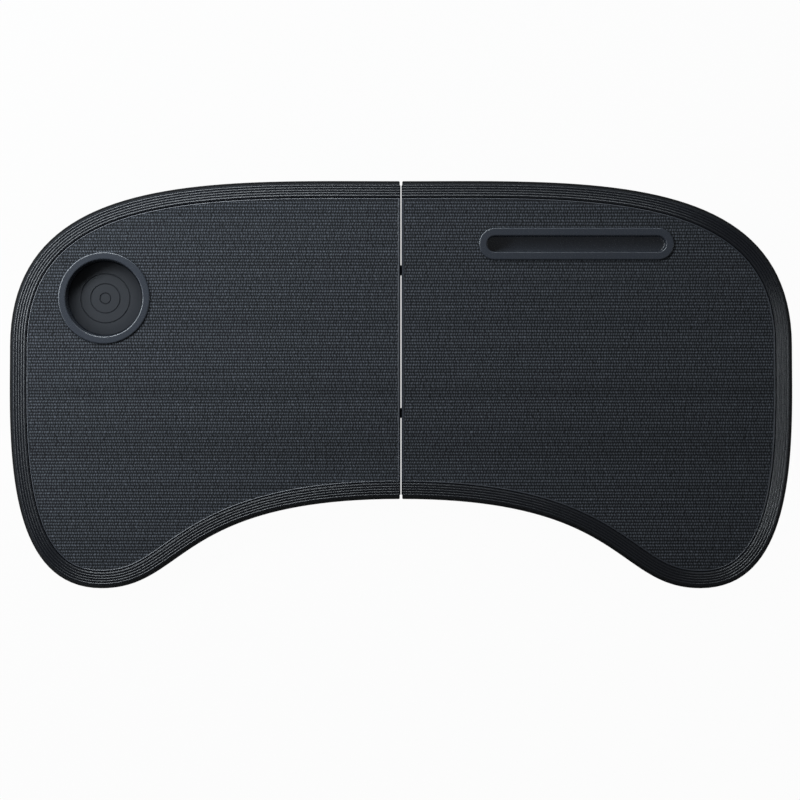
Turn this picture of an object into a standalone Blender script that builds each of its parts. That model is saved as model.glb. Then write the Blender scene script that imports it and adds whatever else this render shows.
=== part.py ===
"""Folding car seat tray table: two moulded leaves on double-pivot links, and U legs that fold in.

X runs across the table, Y towards its back edge and Z up. The origin is on the floor under the
middle of the open table. The right leaf is on the +X side. What both leaves have is modelled for
the right one and mirrored or turned for the left one.
"""

from math import asin, cos, pi, radians, sin

import bmesh
import bpy
from mathutils import Matrix, Vector

MM = 0.001

# Clearance between pieces that seat in each other
CLEAR = 0.3 * MM

# Outline of the open table from above
TABLE_WIDTH = 700 * MM
TABLE_DEPTH = 364 * MM
MIDDLE_DEPTH = 284 * MM
FOLD_GAP = 2.2 * MM
WIDEST_FROM_BACK = 148 * MM
LOBE_FROM_SIDE = 81.5 * MM
BACK_REACH = 169 * MM
SIDE_BACK_REACH = 158 * MM
SIDE_FRONT_REACH = 75 * MM
LOBE_OUTER_REACH = 90 * MM
LOBE_INNER_REACH = 75 * MM
FRONT_REACH = 201.5 * MM
OUTLINE_STEPS = (12, 9, 11)

# Moulded leaf: levels and walls
RIM_Z = 2.2 * MM
PAN_DEPTH = 21.8 * MM
DECK = 2.5 * MM
WALL = 2.6 * MM
LIP = 0.9 * MM
FOLD_LIP = 1.6 * MM
FOLD_WALL = 2.4 * MM
MAT = 1.2 * MM
LIP_PROUD = 0.4 * MM
RIB = 1.6 * MM
RIB_HEIGHT = 4 * MM
RIB_PITCH = 82 * MM
RIB_ROWS = 3

# Ridged edge band
BAND_WIDTH = 13.5 * MM
BAND_SIDE = 2.9 * MM
BAND_THICK = 2.6 * MM
BAND_FALL = 5 * MM
BAND_FOOT = 2.8 * MM
BAND_LAND = 0.9 * MM
BAND_ROUND = 0.9 * MM
RIDGES = 5
RIDGE_HEIGHT = 0.8 * MM
RIDGE_FLANK = 0.28

# Cup insert, its pad and its retaining ring
CUP_FROM_SIDE = 84.1 * MM
CUP_FROM_BACK = 104.3 * MM
CUP_R = 34.4 * MM
CUP_BEZEL = 6.8 * MM
CUP_WALL = 2 * MM
CUP_FLOOR = 2 * MM
CUP_DEPTH = 19.7 * MM
CUP_TAPER = 0.8 * MM
CUP_PAD = 1.5 * MM
CUP_RING_RADII = (22.1 * MM, 13.2 * MM, 4.8 * MM)
CUP_RING_WIDTH = 0.9 * MM
CUP_RING_DEPTH = 0.5 * MM
RETAINER = 5 * MM
RETAINER_BAND = 4.3 * MM
RETAINER_NOTCHES = 6
RETAINER_NOTCH = 7 * MM
BEZEL_HEIGHT = 1.4 * MM
BEZEL_ROUND = 0.7 * MM

# Slot insert and its frame
SLOT_FROM_FOLD = 157 * MM
SLOT_FROM_BACK = 55.9 * MM
SLOT_LENGTH = 160.2 * MM
SLOT_WIDTH = 14.2 * MM
SLOT_BEZEL = 7.3 * MM
SLOT_WALL = 1.8 * MM
SLOT_FLOOR = 1.8 * MM
SLOT_DEPTH = 14.2 * MM
SLOT_FRAME = 3 * MM
SLOT_FRAME_BAND = 4.3 * MM

# Fold hinges
PIVOT_SPACING = 10.6 * MM
CLOSED_GAP = 0.6 * MM
HINGES_FROM_BACK = (78.8 * MM, 207.4 * MM)
LINK_WIDTH = 9 * MM
LINK_WALL = 1.4 * MM
HINGE_PIN_R = 1.5 * MM
CHEEK = 3.3 * MM
CHEEK_WALL = 1 * MM

# U legs
LEG_PIVOT_FROM_SIDE = 141 * MM
FOOT_FROM_FOLD = 26 * MM
LEG_REAR_FROM_BACK = 90 * MM
LEG_FROM_FRONT = 30 * MM
TUBE_R = 6.5 * MM
TUBE_WALL = 1.2 * MM
LEG_BEND_R = 22 * MM
SLEEVE_LENGTH = 90 * MM
SLEEVE_WALL = 2.2 * MM
SLEEVE_ROUND = 0.5 * MM
PLUG_LENGTH = 15 * MM
PIN_R = 3 * MM
PIN_HEAD = 1.2 * MM
PIN_HEAD_R = 4.5 * MM
EYE_WALL = 4.7 * MM
EYE_HALF = 6 * MM
NECK = 3 * MM
EYE_GAP = 0.7 * MM
SWING = 100

# Leg brackets
BRACKET_BASE = 2.5 * MM
BRACKET_FRONT = 10 * MM
BRACKET_REAR = 13 * MM
BRACKET_FLANGE = 9.6 * MM
BRACKET_CORNER = 3 * MM
BRACKET_CHEEK = 3 * MM
SIDE_GAP = 0.4 * MM
SCREW_FROM_PIVOT = 3 * MM
SCREW_R = 1.4 * MM
SCREW_HEAD_R = 4.2 * MM
SCREW_HEAD = 1.4 * MM
BOSS_WALL = 1.5 * MM
SCREW_WEB = 0.6 * MM

# Leg lock
LOCK_TRAVEL = 3 * MM
BUTTON_LENGTH = 10 * MM
BUTTON_CAP = 7 * MM
BUTTON_PROUD = 3.5 * MM
NOSE = 3 * MM
NOSE_GAP = 0.4 * MM
LOCK_FRONT_GAP = 1.2 * MM
LOCK_FLOOR = 2 * MM
LOCK_WALL = 2.6 * MM
LOCK_DROP = 6 * MM
BORE_R = 3.2 * MM
SPRING_R = 2.35 * MM
SPRING_WIRE_R = 0.35 * MM
SPRING_TURNS = 3
SPRING_SEAT_R = 1.5 * MM
SPRING_SEAT = 2.5 * MM

# Leg clips
CLIP_FROM_FOLD = 62 * MM
CLIP_LENGTH = 14 * MM
CLIP_WALL = 2.5 * MM

# Foot pads and closing magnets
PAD_R = 7.7 * MM
PAD_STEM_R = 6 * MM
PAD_STEM = 6 * MM
PAD_POST_WALL = 1.4 * MM
PAD_FROM_FOLD = 30 * MM
BACK_PAD_INSET = 22 * MM
FRONT_PAD_INSET = 13 * MM
SHOULDER_PAD = (110 * MM, 36 * MM)
LOBE_PAD = (58 * MM, 32 * MM)
MAGNET_R = 5 * MM
MAGNET = 3 * MM
MAGNET_Z = 0.7 * MM
MAGNET_POST_WALL = 1.7 * MM
MAGNET_INSET = 20 * MM
MAGNET_FROM_BACK = 172 * MM

# Facets: sides of round pieces, steps of bends, round ends and coils, and the angles shaded smooth
CUP_SIDES = 28
CUP_PAD_SIDES = 18
SLEEVE_SIDES = 14
EYE_SIDES = 16
TUBE_SIDES = 12
MAGNET_SIDES = 14
POST_SIDES = 10
PIN_SIDES = 10
SCREW_SIDES = 8
BEND_STEPS = 3
END_STEPS = 7
CORNER_STEPS = 2
COIL_STEPS = 6
MERGE = 0.001 * MM
SMOOTH_TO = 30
BAND_SMOOTH_TO = 50

# Levels that follow from the sizes above
DECK_UNDER = RIM_Z + PAN_DEPTH
DECK_TOP = DECK_UNDER + DECK
MAT_UNDER = DECK_TOP + CLEAR
MAT_TOP = MAT_UNDER + MAT
LIP_TOP = MAT_TOP + LIP_PROUD
BAND_TOP = LIP_TOP - CLEAR
BELOW = -RIM_Z
ABOVE = LIP_TOP + DECK

# Places that follow from the sizes above
BACK_Y = TABLE_DEPTH / 2
SIDE_X = TABLE_WIDTH / 2
FOLD_X = FOLD_GAP / 2
SKIRT_IN = BAND_SIDE + CLEAR
LIP_IN = BAND_WIDTH + CLEAR
MAT_IN = LIP_IN + LIP + CLEAR
HINGE_Z = (PIVOT_SPACING - CLOSED_GAP) / 2
HINGE_X = PIVOT_SPACING / 2
HINGE_YS = [BACK_Y - distance for distance in HINGES_FROM_BACK]
LINK_R = HINGE_PIN_R + CLEAR + LINK_WALL
LINK_SLOT = LINK_WIDTH + 2 * CLEAR
CUP = (SIDE_X - CUP_FROM_SIDE, BACK_Y - CUP_FROM_BACK)
SLOT = (SLOT_FROM_FOLD, BACK_Y - SLOT_FROM_BACK)
SLOT_HALF = (SLOT_LENGTH - SLOT_WIDTH) / 2
EYE_R = PIN_R + CLEAR + EYE_WALL
LEG_DROP = CLEAR + BRACKET_BASE + EYE_GAP + EYE_R
LEG_Z = DECK_UNDER - LEG_DROP
LEG_X = SIDE_X - LEG_PIVOT_FROM_SIDE
LEG_REAR_Y = BACK_Y - LEG_REAR_FROM_BACK
LEG_FRONT_Y = BACK_Y - MIDDLE_DEPTH + LEG_FROM_FRONT
LEG_SPAN = LEG_REAR_Y - LEG_FRONT_Y
LEG_Y = (LEG_REAR_Y + LEG_FRONT_Y) / 2
LEG_REACH = LEG_X - FOOT_FROM_FOLD
LEG_START = EYE_R + NECK
SCREW_Y = EYE_HALF + SIDE_GAP + BRACKET_CHEEK + BRACKET_FLANGE / 2
BOSS_R = SCREW_R + CLEAR + BOSS_WALL
SCREW_Z = DECK_UNDER - BRACKET_BASE - 2 * CLEAR
LOCK_X = EYE_R + NOSE_GAP
BUTTON_X = EYE_R + LOCK_FRONT_GAP + NOSE_GAP + 2 * CLEAR
BUTTON_CENTRE = BUTTON_X + BUTTON_LENGTH / 2
LOCK_END = BUTTON_X + BUTTON_LENGTH + CLEAR + LOCK_WALL
CHEEK_X = HINGE_X + HINGE_PIN_R + CLEAR + 2 * CHEEK_WALL
WELL_R = CUP_R + CUP_WALL
TROUGH_R = SLOT_WIDTH / 2 + SLOT_WALL

SIDES = (("left", -1), ("right", 1))

PLASTIC = "shell_plastic"
BAND = "edge_rubber"
WOVEN = "woven_mat"
INSERT = "insert_plastic"
FITTING = "fitting_plastic"
TUBE = "leg_steel"
STEEL = "pin_steel"
RUBBER = "foot_rubber"
PAD = "cup_silicone"
BUTTON = "button_plastic"
MAGNETIC = "magnet_nickel"

# Colour, roughness and metallic value of each finish
FINISHES = {
    PLASTIC: ((0.035, 0.036, 0.042), 0.45, 0),
    BAND: ((0.012, 0.012, 0.014), 0.35, 0),
    WOVEN: ((0.034, 0.036, 0.045), 0.75, 0),
    INSERT: ((0.048, 0.052, 0.062), 0.5, 0),
    FITTING: ((0.02, 0.02, 0.022), 0.5, 0),
    TUBE: ((0.03, 0.03, 0.033), 0.35, 0.6),
    STEEL: ((0.55, 0.55, 0.57), 0.3, 1),
    RUBBER: ((0.015, 0.015, 0.016), 0.8, 0),
    PAD: ((0.03, 0.032, 0.038), 0.7, 0),
    BUTTON: ((0.25, 0.26, 0.28), 0.45, 0),
    MAGNETIC: ((0.6, 0.6, 0.58), 0.25, 1),
}


# Scene helpers


def clear_scene():
    for thing in list(bpy.data.objects):
        bpy.data.objects.remove(thing, do_unlink=True)


def finish_material(name):
    """The Principled material of one finish, made on first use."""
    found = bpy.data.materials.get(name)
    if found:
        return found
    colour, roughness, metallic = FINISHES[name]
    material = bpy.data.materials.new(name)
    material.use_nodes = True
    shader = material.node_tree.nodes["Principled BSDF"]
    shader.inputs["Base Color"].default_value = (*colour, 1)
    shader.inputs["Roughness"].default_value = roughness
    shader.inputs["Metallic"].default_value = metallic
    material.diffuse_color = (*colour, 1)
    return material


def pivot(name, place, parent=None):
    """An empty on a joint's axis, which carries the pieces of one body."""
    empty = bpy.data.objects.new(name, None)
    empty.empty_display_size = BAND_WIDTH
    bpy.context.scene.collection.objects.link(empty)
    empty.parent = parent
    empty.location = Vector(place) - (parent.matrix_world.translation if parent else Vector())
    bpy.context.view_layer.update()
    return empty


def thing_of(bm, name="tool"):
    """An unparented object from a bmesh, for use as it is or as a Boolean's second shape."""
    mesh = bpy.data.meshes.new(name)
    bm.to_mesh(mesh)
    bm.free()
    thing = bpy.data.objects.new(name, mesh)
    bpy.context.scene.collection.objects.link(thing)
    return thing


def combine(target, operation, tools):
    """The target after a Boolean with each tool, with the modifiers applied and the tools gone."""
    for tool in tools:
        tool.hide_render = True
        tool.display_type = "WIRE"
        modifier = target.modifiers.new("Shape", "BOOLEAN")
        modifier.operation = operation
        modifier.solver = "EXACT"
        modifier.object = tool
    graph = bpy.context.evaluated_depsgraph_get()
    shaped = bpy.data.meshes.new_from_object(target.evaluated_get(graph))
    target.modifiers.clear()
    target.data = shaped
    for tool in tools:
        bpy.data.objects.remove(tool, do_unlink=True)
    return target


def cut(target, *tools):
    return combine(target, "DIFFERENCE", tools)


def join(target, *tools):
    return combine(target, "UNION", tools)


def keep(target, *tools):
    return combine(target, "INTERSECT", tools)


def mirrored(bm):
    """The same shape for the left leaf."""
    bmesh.ops.scale(bm, vec=(-1, 1, 1), verts=bm.verts)
    bmesh.ops.reverse_faces(bm, faces=bm.faces)
    return bm


def sided(thing, side):
    """A finished right-hand object, mirrored if side is -1."""
    if side < 0:
        bm = bmesh.new()
        bm.from_mesh(thing.data)
        mirrored(bm).to_mesh(thing.data)
        bm.free()
    return thing


def finish(mesh, material, smooth):
    """Gives a mesh its one material, and smooth shading up to an angle."""
    mesh.materials.clear()
    mesh.materials.append(finish_material(material))
    mesh.shade_smooth()
    mesh.set_sharp_from_angle(angle=radians(smooth))


def hang(thing, carrier, place, turn=0):
    """Hangs an object on its body's empty, with its own origin at place."""
    thing.parent = carrier
    thing.location = Vector(place) - carrier.matrix_world.translation
    thing.rotation_euler = (0, 0, turn)


def seat(thing, name, material, carrier, place=(0, 0, 0), turn=0, smooth=SMOOTH_TO):
    """Names a solid, finishes it and hangs it on its body's empty."""
    thing.name = name
    thing.data.name = name
    finish(thing.data, material, smooth)
    hang(thing, carrier, place, turn)


# Shapes


def skin(rings, closed=False):
    """A closed surface through rings of points, capped at its ends, or joined end to end if closed."""
    bm = bmesh.new()
    rows = [[bm.verts.new(point) for point in ring] for ring in rings]
    following = rows[1:] + rows[:1] if closed else rows[1:]
    for row, after in zip(rows, following):
        for i, corner in enumerate(row):
            j = (i + 1) % len(row)
            bm.faces.new((corner, row[j], after[j], after[i]))
    if not closed:
        bm.faces.new(rows[0])
        bm.faces.new(rows[-1])
    bmesh.ops.recalc_face_normals(bm, faces=bm.faces)
    return bm


def arc(centre, radius, start, end, steps):
    """Points along an arc in a plane, both ends included."""
    angles = [start + (end - start) * i / steps for i in range(steps + 1)]
    return [(centre[0] + radius * cos(a), centre[1] + radius * sin(a)) for a in angles]


def circle(centre, radius, steps):
    return arc(centre, radius, 0, 2 * pi * (1 - 1 / steps), steps - 1)


def stadium(centre, half, radius, steps=END_STEPS):
    """A slot's outline: two half circles, each half of the straight length from the centre."""
    x, y = centre
    right = arc((x + half, y), radius, -pi / 2, pi / 2, steps)
    left = arc((x - half, y), radius, pi / 2, 3 * pi / 2, steps)
    return right + left


def rounded_box(left, right, half, corner, steps=CORNER_STEPS):
    """A rectangle that is half high on each side of the X axis, with round corners."""
    outline = []
    for i, (x, y) in enumerate(((right, half), (left, half), (left, -half), (right, -half))):
        inner = (x - corner if x == right else x + corner, y - corner if y > 0 else y + corner)
        outline += arc(inner, corner, i * pi / 2, (i + 1) * pi / 2, steps)
    return outline


def at_level(outline, z):
    return [(x, y, z) for x, y in outline]


def prism(outline, low, high):
    """An outline in the XY plane, raised from low to high."""
    return skin([at_level(outline, low), at_level(outline, high)])


def side_prism(outline, low, high):
    """An outline in the XZ plane, carried along Y."""
    return skin([[(x, y, z) for x, z in outline] for y in (low, high)])


def turned(profile, steps, centre=(0, 0), closed=False):
    """A profile of (radius, height) turned about a vertical axis."""
    return skin([at_level(circle(centre, r, steps), z) for r, z in profile], closed)


def post(radius, low, high, steps, centre=(0, 0)):
    """An upright cylinder."""
    return turned([(radius, low), (radius, high)], steps, centre)


def laid(bm):
    """A shape turned about Z, laid down along Y."""
    bmesh.ops.rotate(bm, matrix=Matrix.Rotation(-pi / 2, 3, "X"), verts=bm.verts)
    return bm


def moved(bm, place):
    bmesh.ops.translate(bm, vec=Vector(place), verts=bm.verts)
    return bm


def block(low, high):
    """A box between two corners."""
    (x0, y0, z0), (x1, y1, z1) = low, high
    return prism([(x0, y0), (x1, y0), (x1, y1), (x0, y1)], z0, z1)


def box_level(left, right, half, z):
    """One level of a box that is half wide on each side of the X axis."""
    return at_level([(left, -half), (right, -half), (right, half), (left, half)], z)


def rod(radius, place, length, steps=PIN_SIDES):
    """A cylinder along Y, centred on place."""
    half = length / 2
    return moved(laid(post(radius, -half, half, steps)), place)


# Outline of a leaf


def curve(start, reach, end, arrival, steps):
    """Points and outward normals on one curve of the outline, up to but without its end."""
    points = (Vector(start), Vector(start) + Vector(reach), Vector(end) - Vector(arrival), Vector(end))
    a, b, c, d = points
    for i in range(steps):
        t = i / steps
        point = a * (1 - t) ** 3 + b * 3 * t * (1 - t) ** 2 + c * 3 * t * t * (1 - t) + d * t**3
        along = (b - a) * (1 - t) ** 2 + (c - b) * 2 * t * (1 - t) + (d - c) * t * t
        yield point, Vector((-along.y, along.x)).normalized()


def leaf_path():
    """The right leaf's free edge, from the back of the fold round the side and the lobe to the front."""
    back = (FOLD_X, BACK_Y)
    side = (SIDE_X, BACK_Y - WIDEST_FROM_BACK)
    lobe = (SIDE_X - LOBE_FROM_SIDE, BACK_Y - TABLE_DEPTH)
    front = (FOLD_X, BACK_Y - MIDDLE_DEPTH)
    back_steps, side_steps, front_steps = OUTLINE_STEPS
    path = list(curve(back, (BACK_REACH, 0), side, (0, -SIDE_BACK_REACH), back_steps))
    path += curve(side, (0, -SIDE_FRONT_REACH), lobe, (-LOBE_OUTER_REACH, 0), side_steps)
    path += curve(lobe, (-LOBE_INNER_REACH, 0), front, (-FRONT_REACH, 0), front_steps)
    path.append((Vector(front), Vector((0, -1))))
    return path


PATH = leaf_path()


def leaf_ring(inset, z, fold_x):
    """One level of a leaf: its free edge moved inwards by inset, and the fold line at fold_x."""
    points = [point - normal * inset for point, normal in PATH]
    share = (fold_x - FOLD_X) / (points[1].x - FOLD_X)
    first = points[0].lerp(points[1], share)
    share = (fold_x - FOLD_X) / (points[-2].x - FOLD_X)
    last = points[-1].lerp(points[-2], share)
    return [(x, y, z) for x, y in [first, *points[1:-1], last]]


def leaf_volume(profile, fold_x):
    """A leaf-shaped volume through levels of (inset, height)."""
    return skin([leaf_ring(inset, z, fold_x) for inset, z in profile])


def crossing(path, axis, value):
    """Where a stretch of the free edge first reaches a value of X or Y, and the outward normal there."""
    for (point, normal), (after, normal_after) in zip(path, path[1:]):
        share = (value - point[axis]) / (after[axis] - point[axis])
        if 0 <= share <= 1:
            return point.lerp(after, share), normal.lerp(normal_after, share)


# Leaf: band, shell and mat


def crown(inset):
    """Height of the band's valleys, which fall in a curve towards the outer edge."""
    return BAND_TOP - BAND_FALL * (1 - inset / BAND_WIDTH) ** 2


def shoulder_insets():
    """Where the band's underside and the shell's shoulder change slope."""
    return [SKIRT_IN, (2 * SKIRT_IN + LIP_IN) / 3, LIP_IN]


def band_profile():
    """The band in section as (inset, height), from its foot up the outer side and back under its top."""
    foot = RIM_Z + BAND_FOOT
    outline = [(0, foot), (0, crown(0) - BAND_ROUND)]
    pitch = (BAND_WIDTH - BAND_LAND - BAND_ROUND / 2) / RIDGES
    for i in range(RIDGES):
        valley = BAND_ROUND / 2 + i * pitch
        outline.append((valley, crown(valley)))
        for share in (RIDGE_FLANK, 1 - RIDGE_FLANK):
            crest = valley + share * pitch
            outline.append((crest, crown(crest) + RIDGE_HEIGHT))
    inner = BAND_WIDTH - BAND_LAND
    outline += [(inner, crown(inner)), (BAND_WIDTH, BAND_TOP)]
    outline += [(inset - CLEAR, crown(inset) - BAND_THICK) for inset in reversed(shoulder_insets())]
    outline.append((BAND_SIDE, foot))
    return outline


def edge_band(side, carrier, name):
    """The ridged band, its section carried round the leaf's free edge."""
    profile = band_profile()
    rings = [
        [(*(point - normal * inset), z) for inset, z in profile] for point, normal in PATH
    ]
    seat(sided(thing_of(skin(rings)), side), name, BAND, carrier, smooth=BAND_SMOOTH_TO)


def shoulder(depth):
    """The shell's shoulder as (inset, height), this far under its outer face."""
    return [
        (inset + depth, crown(inset + depth) - BAND_THICK - CLEAR - depth)
        for inset in shoulder_insets()[:-1]
    ]


def shell_outside():
    ledge = crown(LIP_IN) - BAND_THICK - CLEAR
    profile = [(SKIRT_IN, RIM_Z), *shoulder(0), (LIP_IN, ledge), (LIP_IN, LIP_TOP)]
    return leaf_volume(profile, FOLD_X)


def shell_inside(depth, low, high, fold_x):
    """The hollow of the pan at a depth under the outer face, from low to high."""
    ledge = crown(LIP_IN) - BAND_THICK - CLEAR - depth
    profile = [(SKIRT_IN + depth, low), *shoulder(depth)]
    profile += [(LIP_IN + depth, ledge), (LIP_IN + depth, high)]
    return leaf_volume(profile, fold_x)


def rib_field(blocked):
    """The ribs under the deck: two crossing rows, cut back from what is fixed there."""
    low, high = DECK_UNDER - RIB_HEIGHT, DECK_TOP
    half = RIB / 2
    along = []
    for i in range(1, int(SIDE_X / RIB_PITCH) + 1):
        x = i * RIB_PITCH
        along.append(block((x - half, -TABLE_DEPTH, low), (x + half, TABLE_DEPTH, high)))
    across = []
    for i in range(RIB_ROWS):
        y = LEG_Y + (i - RIB_ROWS / 2) * RIB_PITCH
        across.append(block((0, y - half, low), (TABLE_WIDTH, y + half, high)))
    ribs = join(thing_of(together(along)), thing_of(together(across)))
    return cut(ribs, *[thing_of(shape) for shape in blocked])


def together(shapes):
    """Several separate shapes in one bmesh."""
    whole = bmesh.new()
    for shape in shapes:
        mesh = bpy.data.meshes.new("part")
        shape.to_mesh(mesh)
        shape.free()
        whole.from_mesh(mesh)
        bpy.data.meshes.remove(mesh)
    return whole


def pad_places():
    """Where the right leaf's four foot pads stand."""
    back, _ = crossing(PATH, 0, PAD_FROM_FOLD)
    front, _ = crossing(PATH[::-1], 0, PAD_FROM_FOLD)
    return [
        (PAD_FROM_FOLD, back.y - BACK_PAD_INSET),
        (PAD_FROM_FOLD, front.y + FRONT_PAD_INSET),
        (SIDE_X - SHOULDER_PAD[0], BACK_Y - SHOULDER_PAD[1]),
        (SIDE_X - LOBE_PAD[0], BACK_Y - TABLE_DEPTH + LOBE_PAD[1]),
    ]


def magnet_place():
    edge, normal = crossing(PATH[1:], 1, BACK_Y - MAGNET_FROM_BACK)
    return tuple(edge - normal * MAGNET_INSET)


def screw_places():
    """Where screws go into the right leaf: two beside each leg arm's pivot, and one in the clip."""
    places = [(CLIP_FROM_FOLD, LEG_FRONT_Y)]
    for y in (LEG_REAR_Y, LEG_FRONT_Y):
        places += [(LEG_X + SCREW_FROM_PIVOT, y + offset) for offset in (SCREW_Y, -SCREW_Y)]
    return places


def rib_free(limit):
    """The spaces under the deck that ribs stay out of."""
    low, high = DECK_UNDER - 2 * RIB_HEIGHT, DECK_UNDER
    foot = TUBE_R + SLEEVE_WALL + 2 * CLEAR
    half = LEG_SPAN / 2 + foot
    x = FOOT_FROM_FOLD
    spaces = [block((x - foot, LEG_Y - half, low), (x + foot, LEG_Y + half, high))]
    for y in (LEG_REAR_Y, LEG_FRONT_Y):
        spaces.append(bracket_space(y, low, high))
    half = CLIP_LENGTH / 2 + CLEAR
    width = TUBE_R + CLIP_WALL + 2 * CLEAR
    x = CLIP_FROM_FOLD
    spaces.append(block((x - half, LEG_FRONT_Y - width, low), (x + half, LEG_FRONT_Y + width, high)))
    spaces.append(prism(limit, low, high))
    return spaces


def bracket_space(y, low, high):
    """The space that a leg bracket needs under the deck, with its screw flanges."""
    rear = LOCK_END if y < LEG_REAR_Y else BRACKET_REAR
    half = SCREW_Y + BRACKET_FLANGE / 2 + CLEAR
    left, right = LEG_X - BRACKET_FRONT - CLEAR, LEG_X + rear + CLEAR
    return block((left, y - half, low), (right, y + half, high))


def posts():
    """The pad posts, the magnet post and the screw bosses under the right leaf's deck."""
    pad_r = PAD_STEM_R + CLEAR + PAD_POST_WALL
    magnet_r = MAGNET_R + CLEAR + MAGNET_POST_WALL
    shapes = [post(pad_r, RIM_Z, DECK_TOP, POST_SIDES, place) for place in pad_places()]
    shapes.append(post(magnet_r, MAGNET_Z + CLEAR, DECK_TOP, MAGNET_SIDES, magnet_place()))
    low = DECK_UNDER - BRACKET_BASE
    shapes += [post(BOSS_R, low, DECK_TOP, SCREW_SIDES, place) for place in screw_places()]
    return together(shapes)


def post_holes():
    """What is hollow in the posts and bosses."""
    pad_top, magnet_top, screw_top = DECK_UNDER - RIB, MAGNET_Z + MAGNET + CLEAR, DECK_TOP - SCREW_WEB
    shapes = [post(PAD_STEM_R + CLEAR, BELOW, pad_top, POST_SIDES, place) for place in pad_places()]
    shapes.append(post(MAGNET_R + CLEAR, BELOW, magnet_top, MAGNET_SIDES, magnet_place()))
    screw_r = SCREW_R + CLEAR
    shapes += [post(screw_r, BELOW, screw_top, SCREW_SIDES, place) for place in screw_places()]
    return together(shapes)


def hinge_blocks():
    """A block behind the fold wall at each hinge, which becomes two cheeks once it is slotted."""
    half = LINK_SLOT / 2 + CHEEK
    high = HINGE_Z + LINK_R + 2 * CHEEK_WALL
    return together([block((0, y - half, RIM_Z), (CHEEK_X, y + half, high)) for y in HINGE_YS])


def hinge_slots():
    """The slots in the fold wall that the links turn in."""
    half, high = LINK_SLOT / 2, HINGE_Z + LINK_R + CHEEK_WALL
    deep = CHEEK_X + WALL
    return together([block((0, y - half, BELOW), (deep, y + half, high)) for y in HINGE_YS])


def hinge_bores():
    """The pin holes through the cheeks."""
    radius, length = HINGE_PIN_R + CLEAR, LINK_SLOT + 4 * CHEEK
    return together([rod(radius, (HINGE_X, y, HINGE_Z), length) for y in HINGE_YS])


def leaf_shell(side, carrier, name, hole, rib_limit):
    """The moulded shell: skirt, shoulder, deck and fold wall, with posts, cheeks and ribs under it."""
    shell = thing_of(shell_outside())
    pan = shell_inside(WALL, BELOW, DECK_UNDER, FOLD_X + FOLD_WALL)
    recess = leaf_volume([(LIP_IN + LIP, DECK_TOP), (LIP_IN + LIP, ABOVE)], FOLD_X + FOLD_LIP)
    cut(shell, thing_of(pan), thing_of(recess))
    fittings = rib_field(rib_free(rib_limit))
    join(fittings, thing_of(posts()), thing_of(hinge_blocks()))
    within = shell_inside(WALL / 2, BELOW, DECK_UNDER + DECK / 2, FOLD_X + FOLD_WALL / 2)
    join(shell, keep(fittings, thing_of(within)))
    holes = [prism(hole, BELOW, ABOVE), post_holes(), hinge_slots(), hinge_bores()]
    cut(shell, *[thing_of(shape) for shape in holes])
    seat(sided(shell, side), name, PLASTIC, carrier)


def top_mat(side, carrier, name, hole):
    """The woven mat, which lies in the recess of the deck."""
    fold_x = FOLD_X + FOLD_LIP + CLEAR
    mat = thing_of(leaf_volume([(MAT_IN, MAT_UNDER), (MAT_IN, MAT_TOP)], fold_x))
    cut(mat, thing_of(prism(hole, BELOW, ABOVE)))
    seat(sided(mat, side), name, WOVEN, carrier)


# Inserts


def bezel(inner, outer):
    """The rounded top of an insert as (radius, height), from its outer underside to its mouth."""
    under = MAT_TOP + CLEAR
    top = under + BEZEL_HEIGHT
    return [
        (outer, under),
        (outer, top - BEZEL_ROUND),
        (outer - BEZEL_ROUND, top),
        (inner + BEZEL_ROUND, top),
        (inner, top - BEZEL_ROUND),
    ]


def cup_insert(carrier):
    """The cup well: one turned wall with a rounded foot and a raised bezel, on the left leaf."""
    top = MAT_TOP + CLEAR + BEZEL_HEIGHT
    floor = top - CUP_DEPTH
    foot = CUP_R - CUP_TAPER
    profile = [
        (foot - CUP_WALL, floor - CUP_FLOOR),
        (foot + CUP_WALL / 2, floor),
        (WELL_R, MAT_TOP + CLEAR),
        *bezel(CUP_R, CUP_R + CUP_BEZEL),
        (foot, floor + CUP_WALL / 2),
        (foot - CUP_WALL / 2, floor),
    ]
    insert = thing_of(turned(profile, CUP_SIDES))
    seat(insert, "cup_insert", INSERT, carrier, (-CUP[0], CUP[1], 0))


def cup_pad(carrier):
    """The disc on the floor of the well, with three thin turned grooves."""
    low = MAT_TOP + CLEAR + BEZEL_HEIGHT - CUP_DEPTH + CLEAR
    high = low + CUP_PAD
    rim = CUP_R - CUP_TAPER - CUP_WALL / 2 - CLEAR
    profile = [(rim, low), (rim, high)]
    for radius in CUP_RING_RADII:
        outer, inner = radius + CUP_RING_WIDTH / 2, radius - CUP_RING_WIDTH / 2
        profile += [(outer, high), (radius, high - CUP_RING_DEPTH), (inner, high)]
    disc = thing_of(turned(profile, CUP_PAD_SIDES))
    seat(disc, "cup_pad", PAD, carrier, (-CUP[0], CUP[1], 0))


def cup_retainer(carrier):
    """The ring nut under the deck, with notches for a spanner."""
    inner = WELL_R + CLEAR
    outer = inner + RETAINER_BAND
    high = DECK_UNDER - CLEAR
    low = high - RETAINER
    profile = [(inner, low), (outer, low), (outer, high), (inner, high)]
    ring = thing_of(turned(profile, CUP_SIDES, closed=True))
    deep, half = outer - RETAINER_BAND / 2, RETAINER_NOTCH / 2
    notches = []
    for i in range(RETAINER_NOTCHES):
        notch = block((deep, -half, low - RETAINER), (outer + half, half, low + RETAINER / 2))
        angle = (2 * i + 1) * pi / RETAINER_NOTCHES
        bmesh.ops.rotate(notch, matrix=Matrix.Rotation(angle, 3, "Z"), verts=notch.verts)
        notches.append(notch)
    cut(ring, thing_of(together(notches)))
    seat(ring, "cup_retaining_ring", FITTING, carrier, (-CUP[0], CUP[1], 0))


def slot_rings(profile):
    return [at_level(stadium((0, 0), SLOT_HALF, r), z) for r, z in profile]


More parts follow.
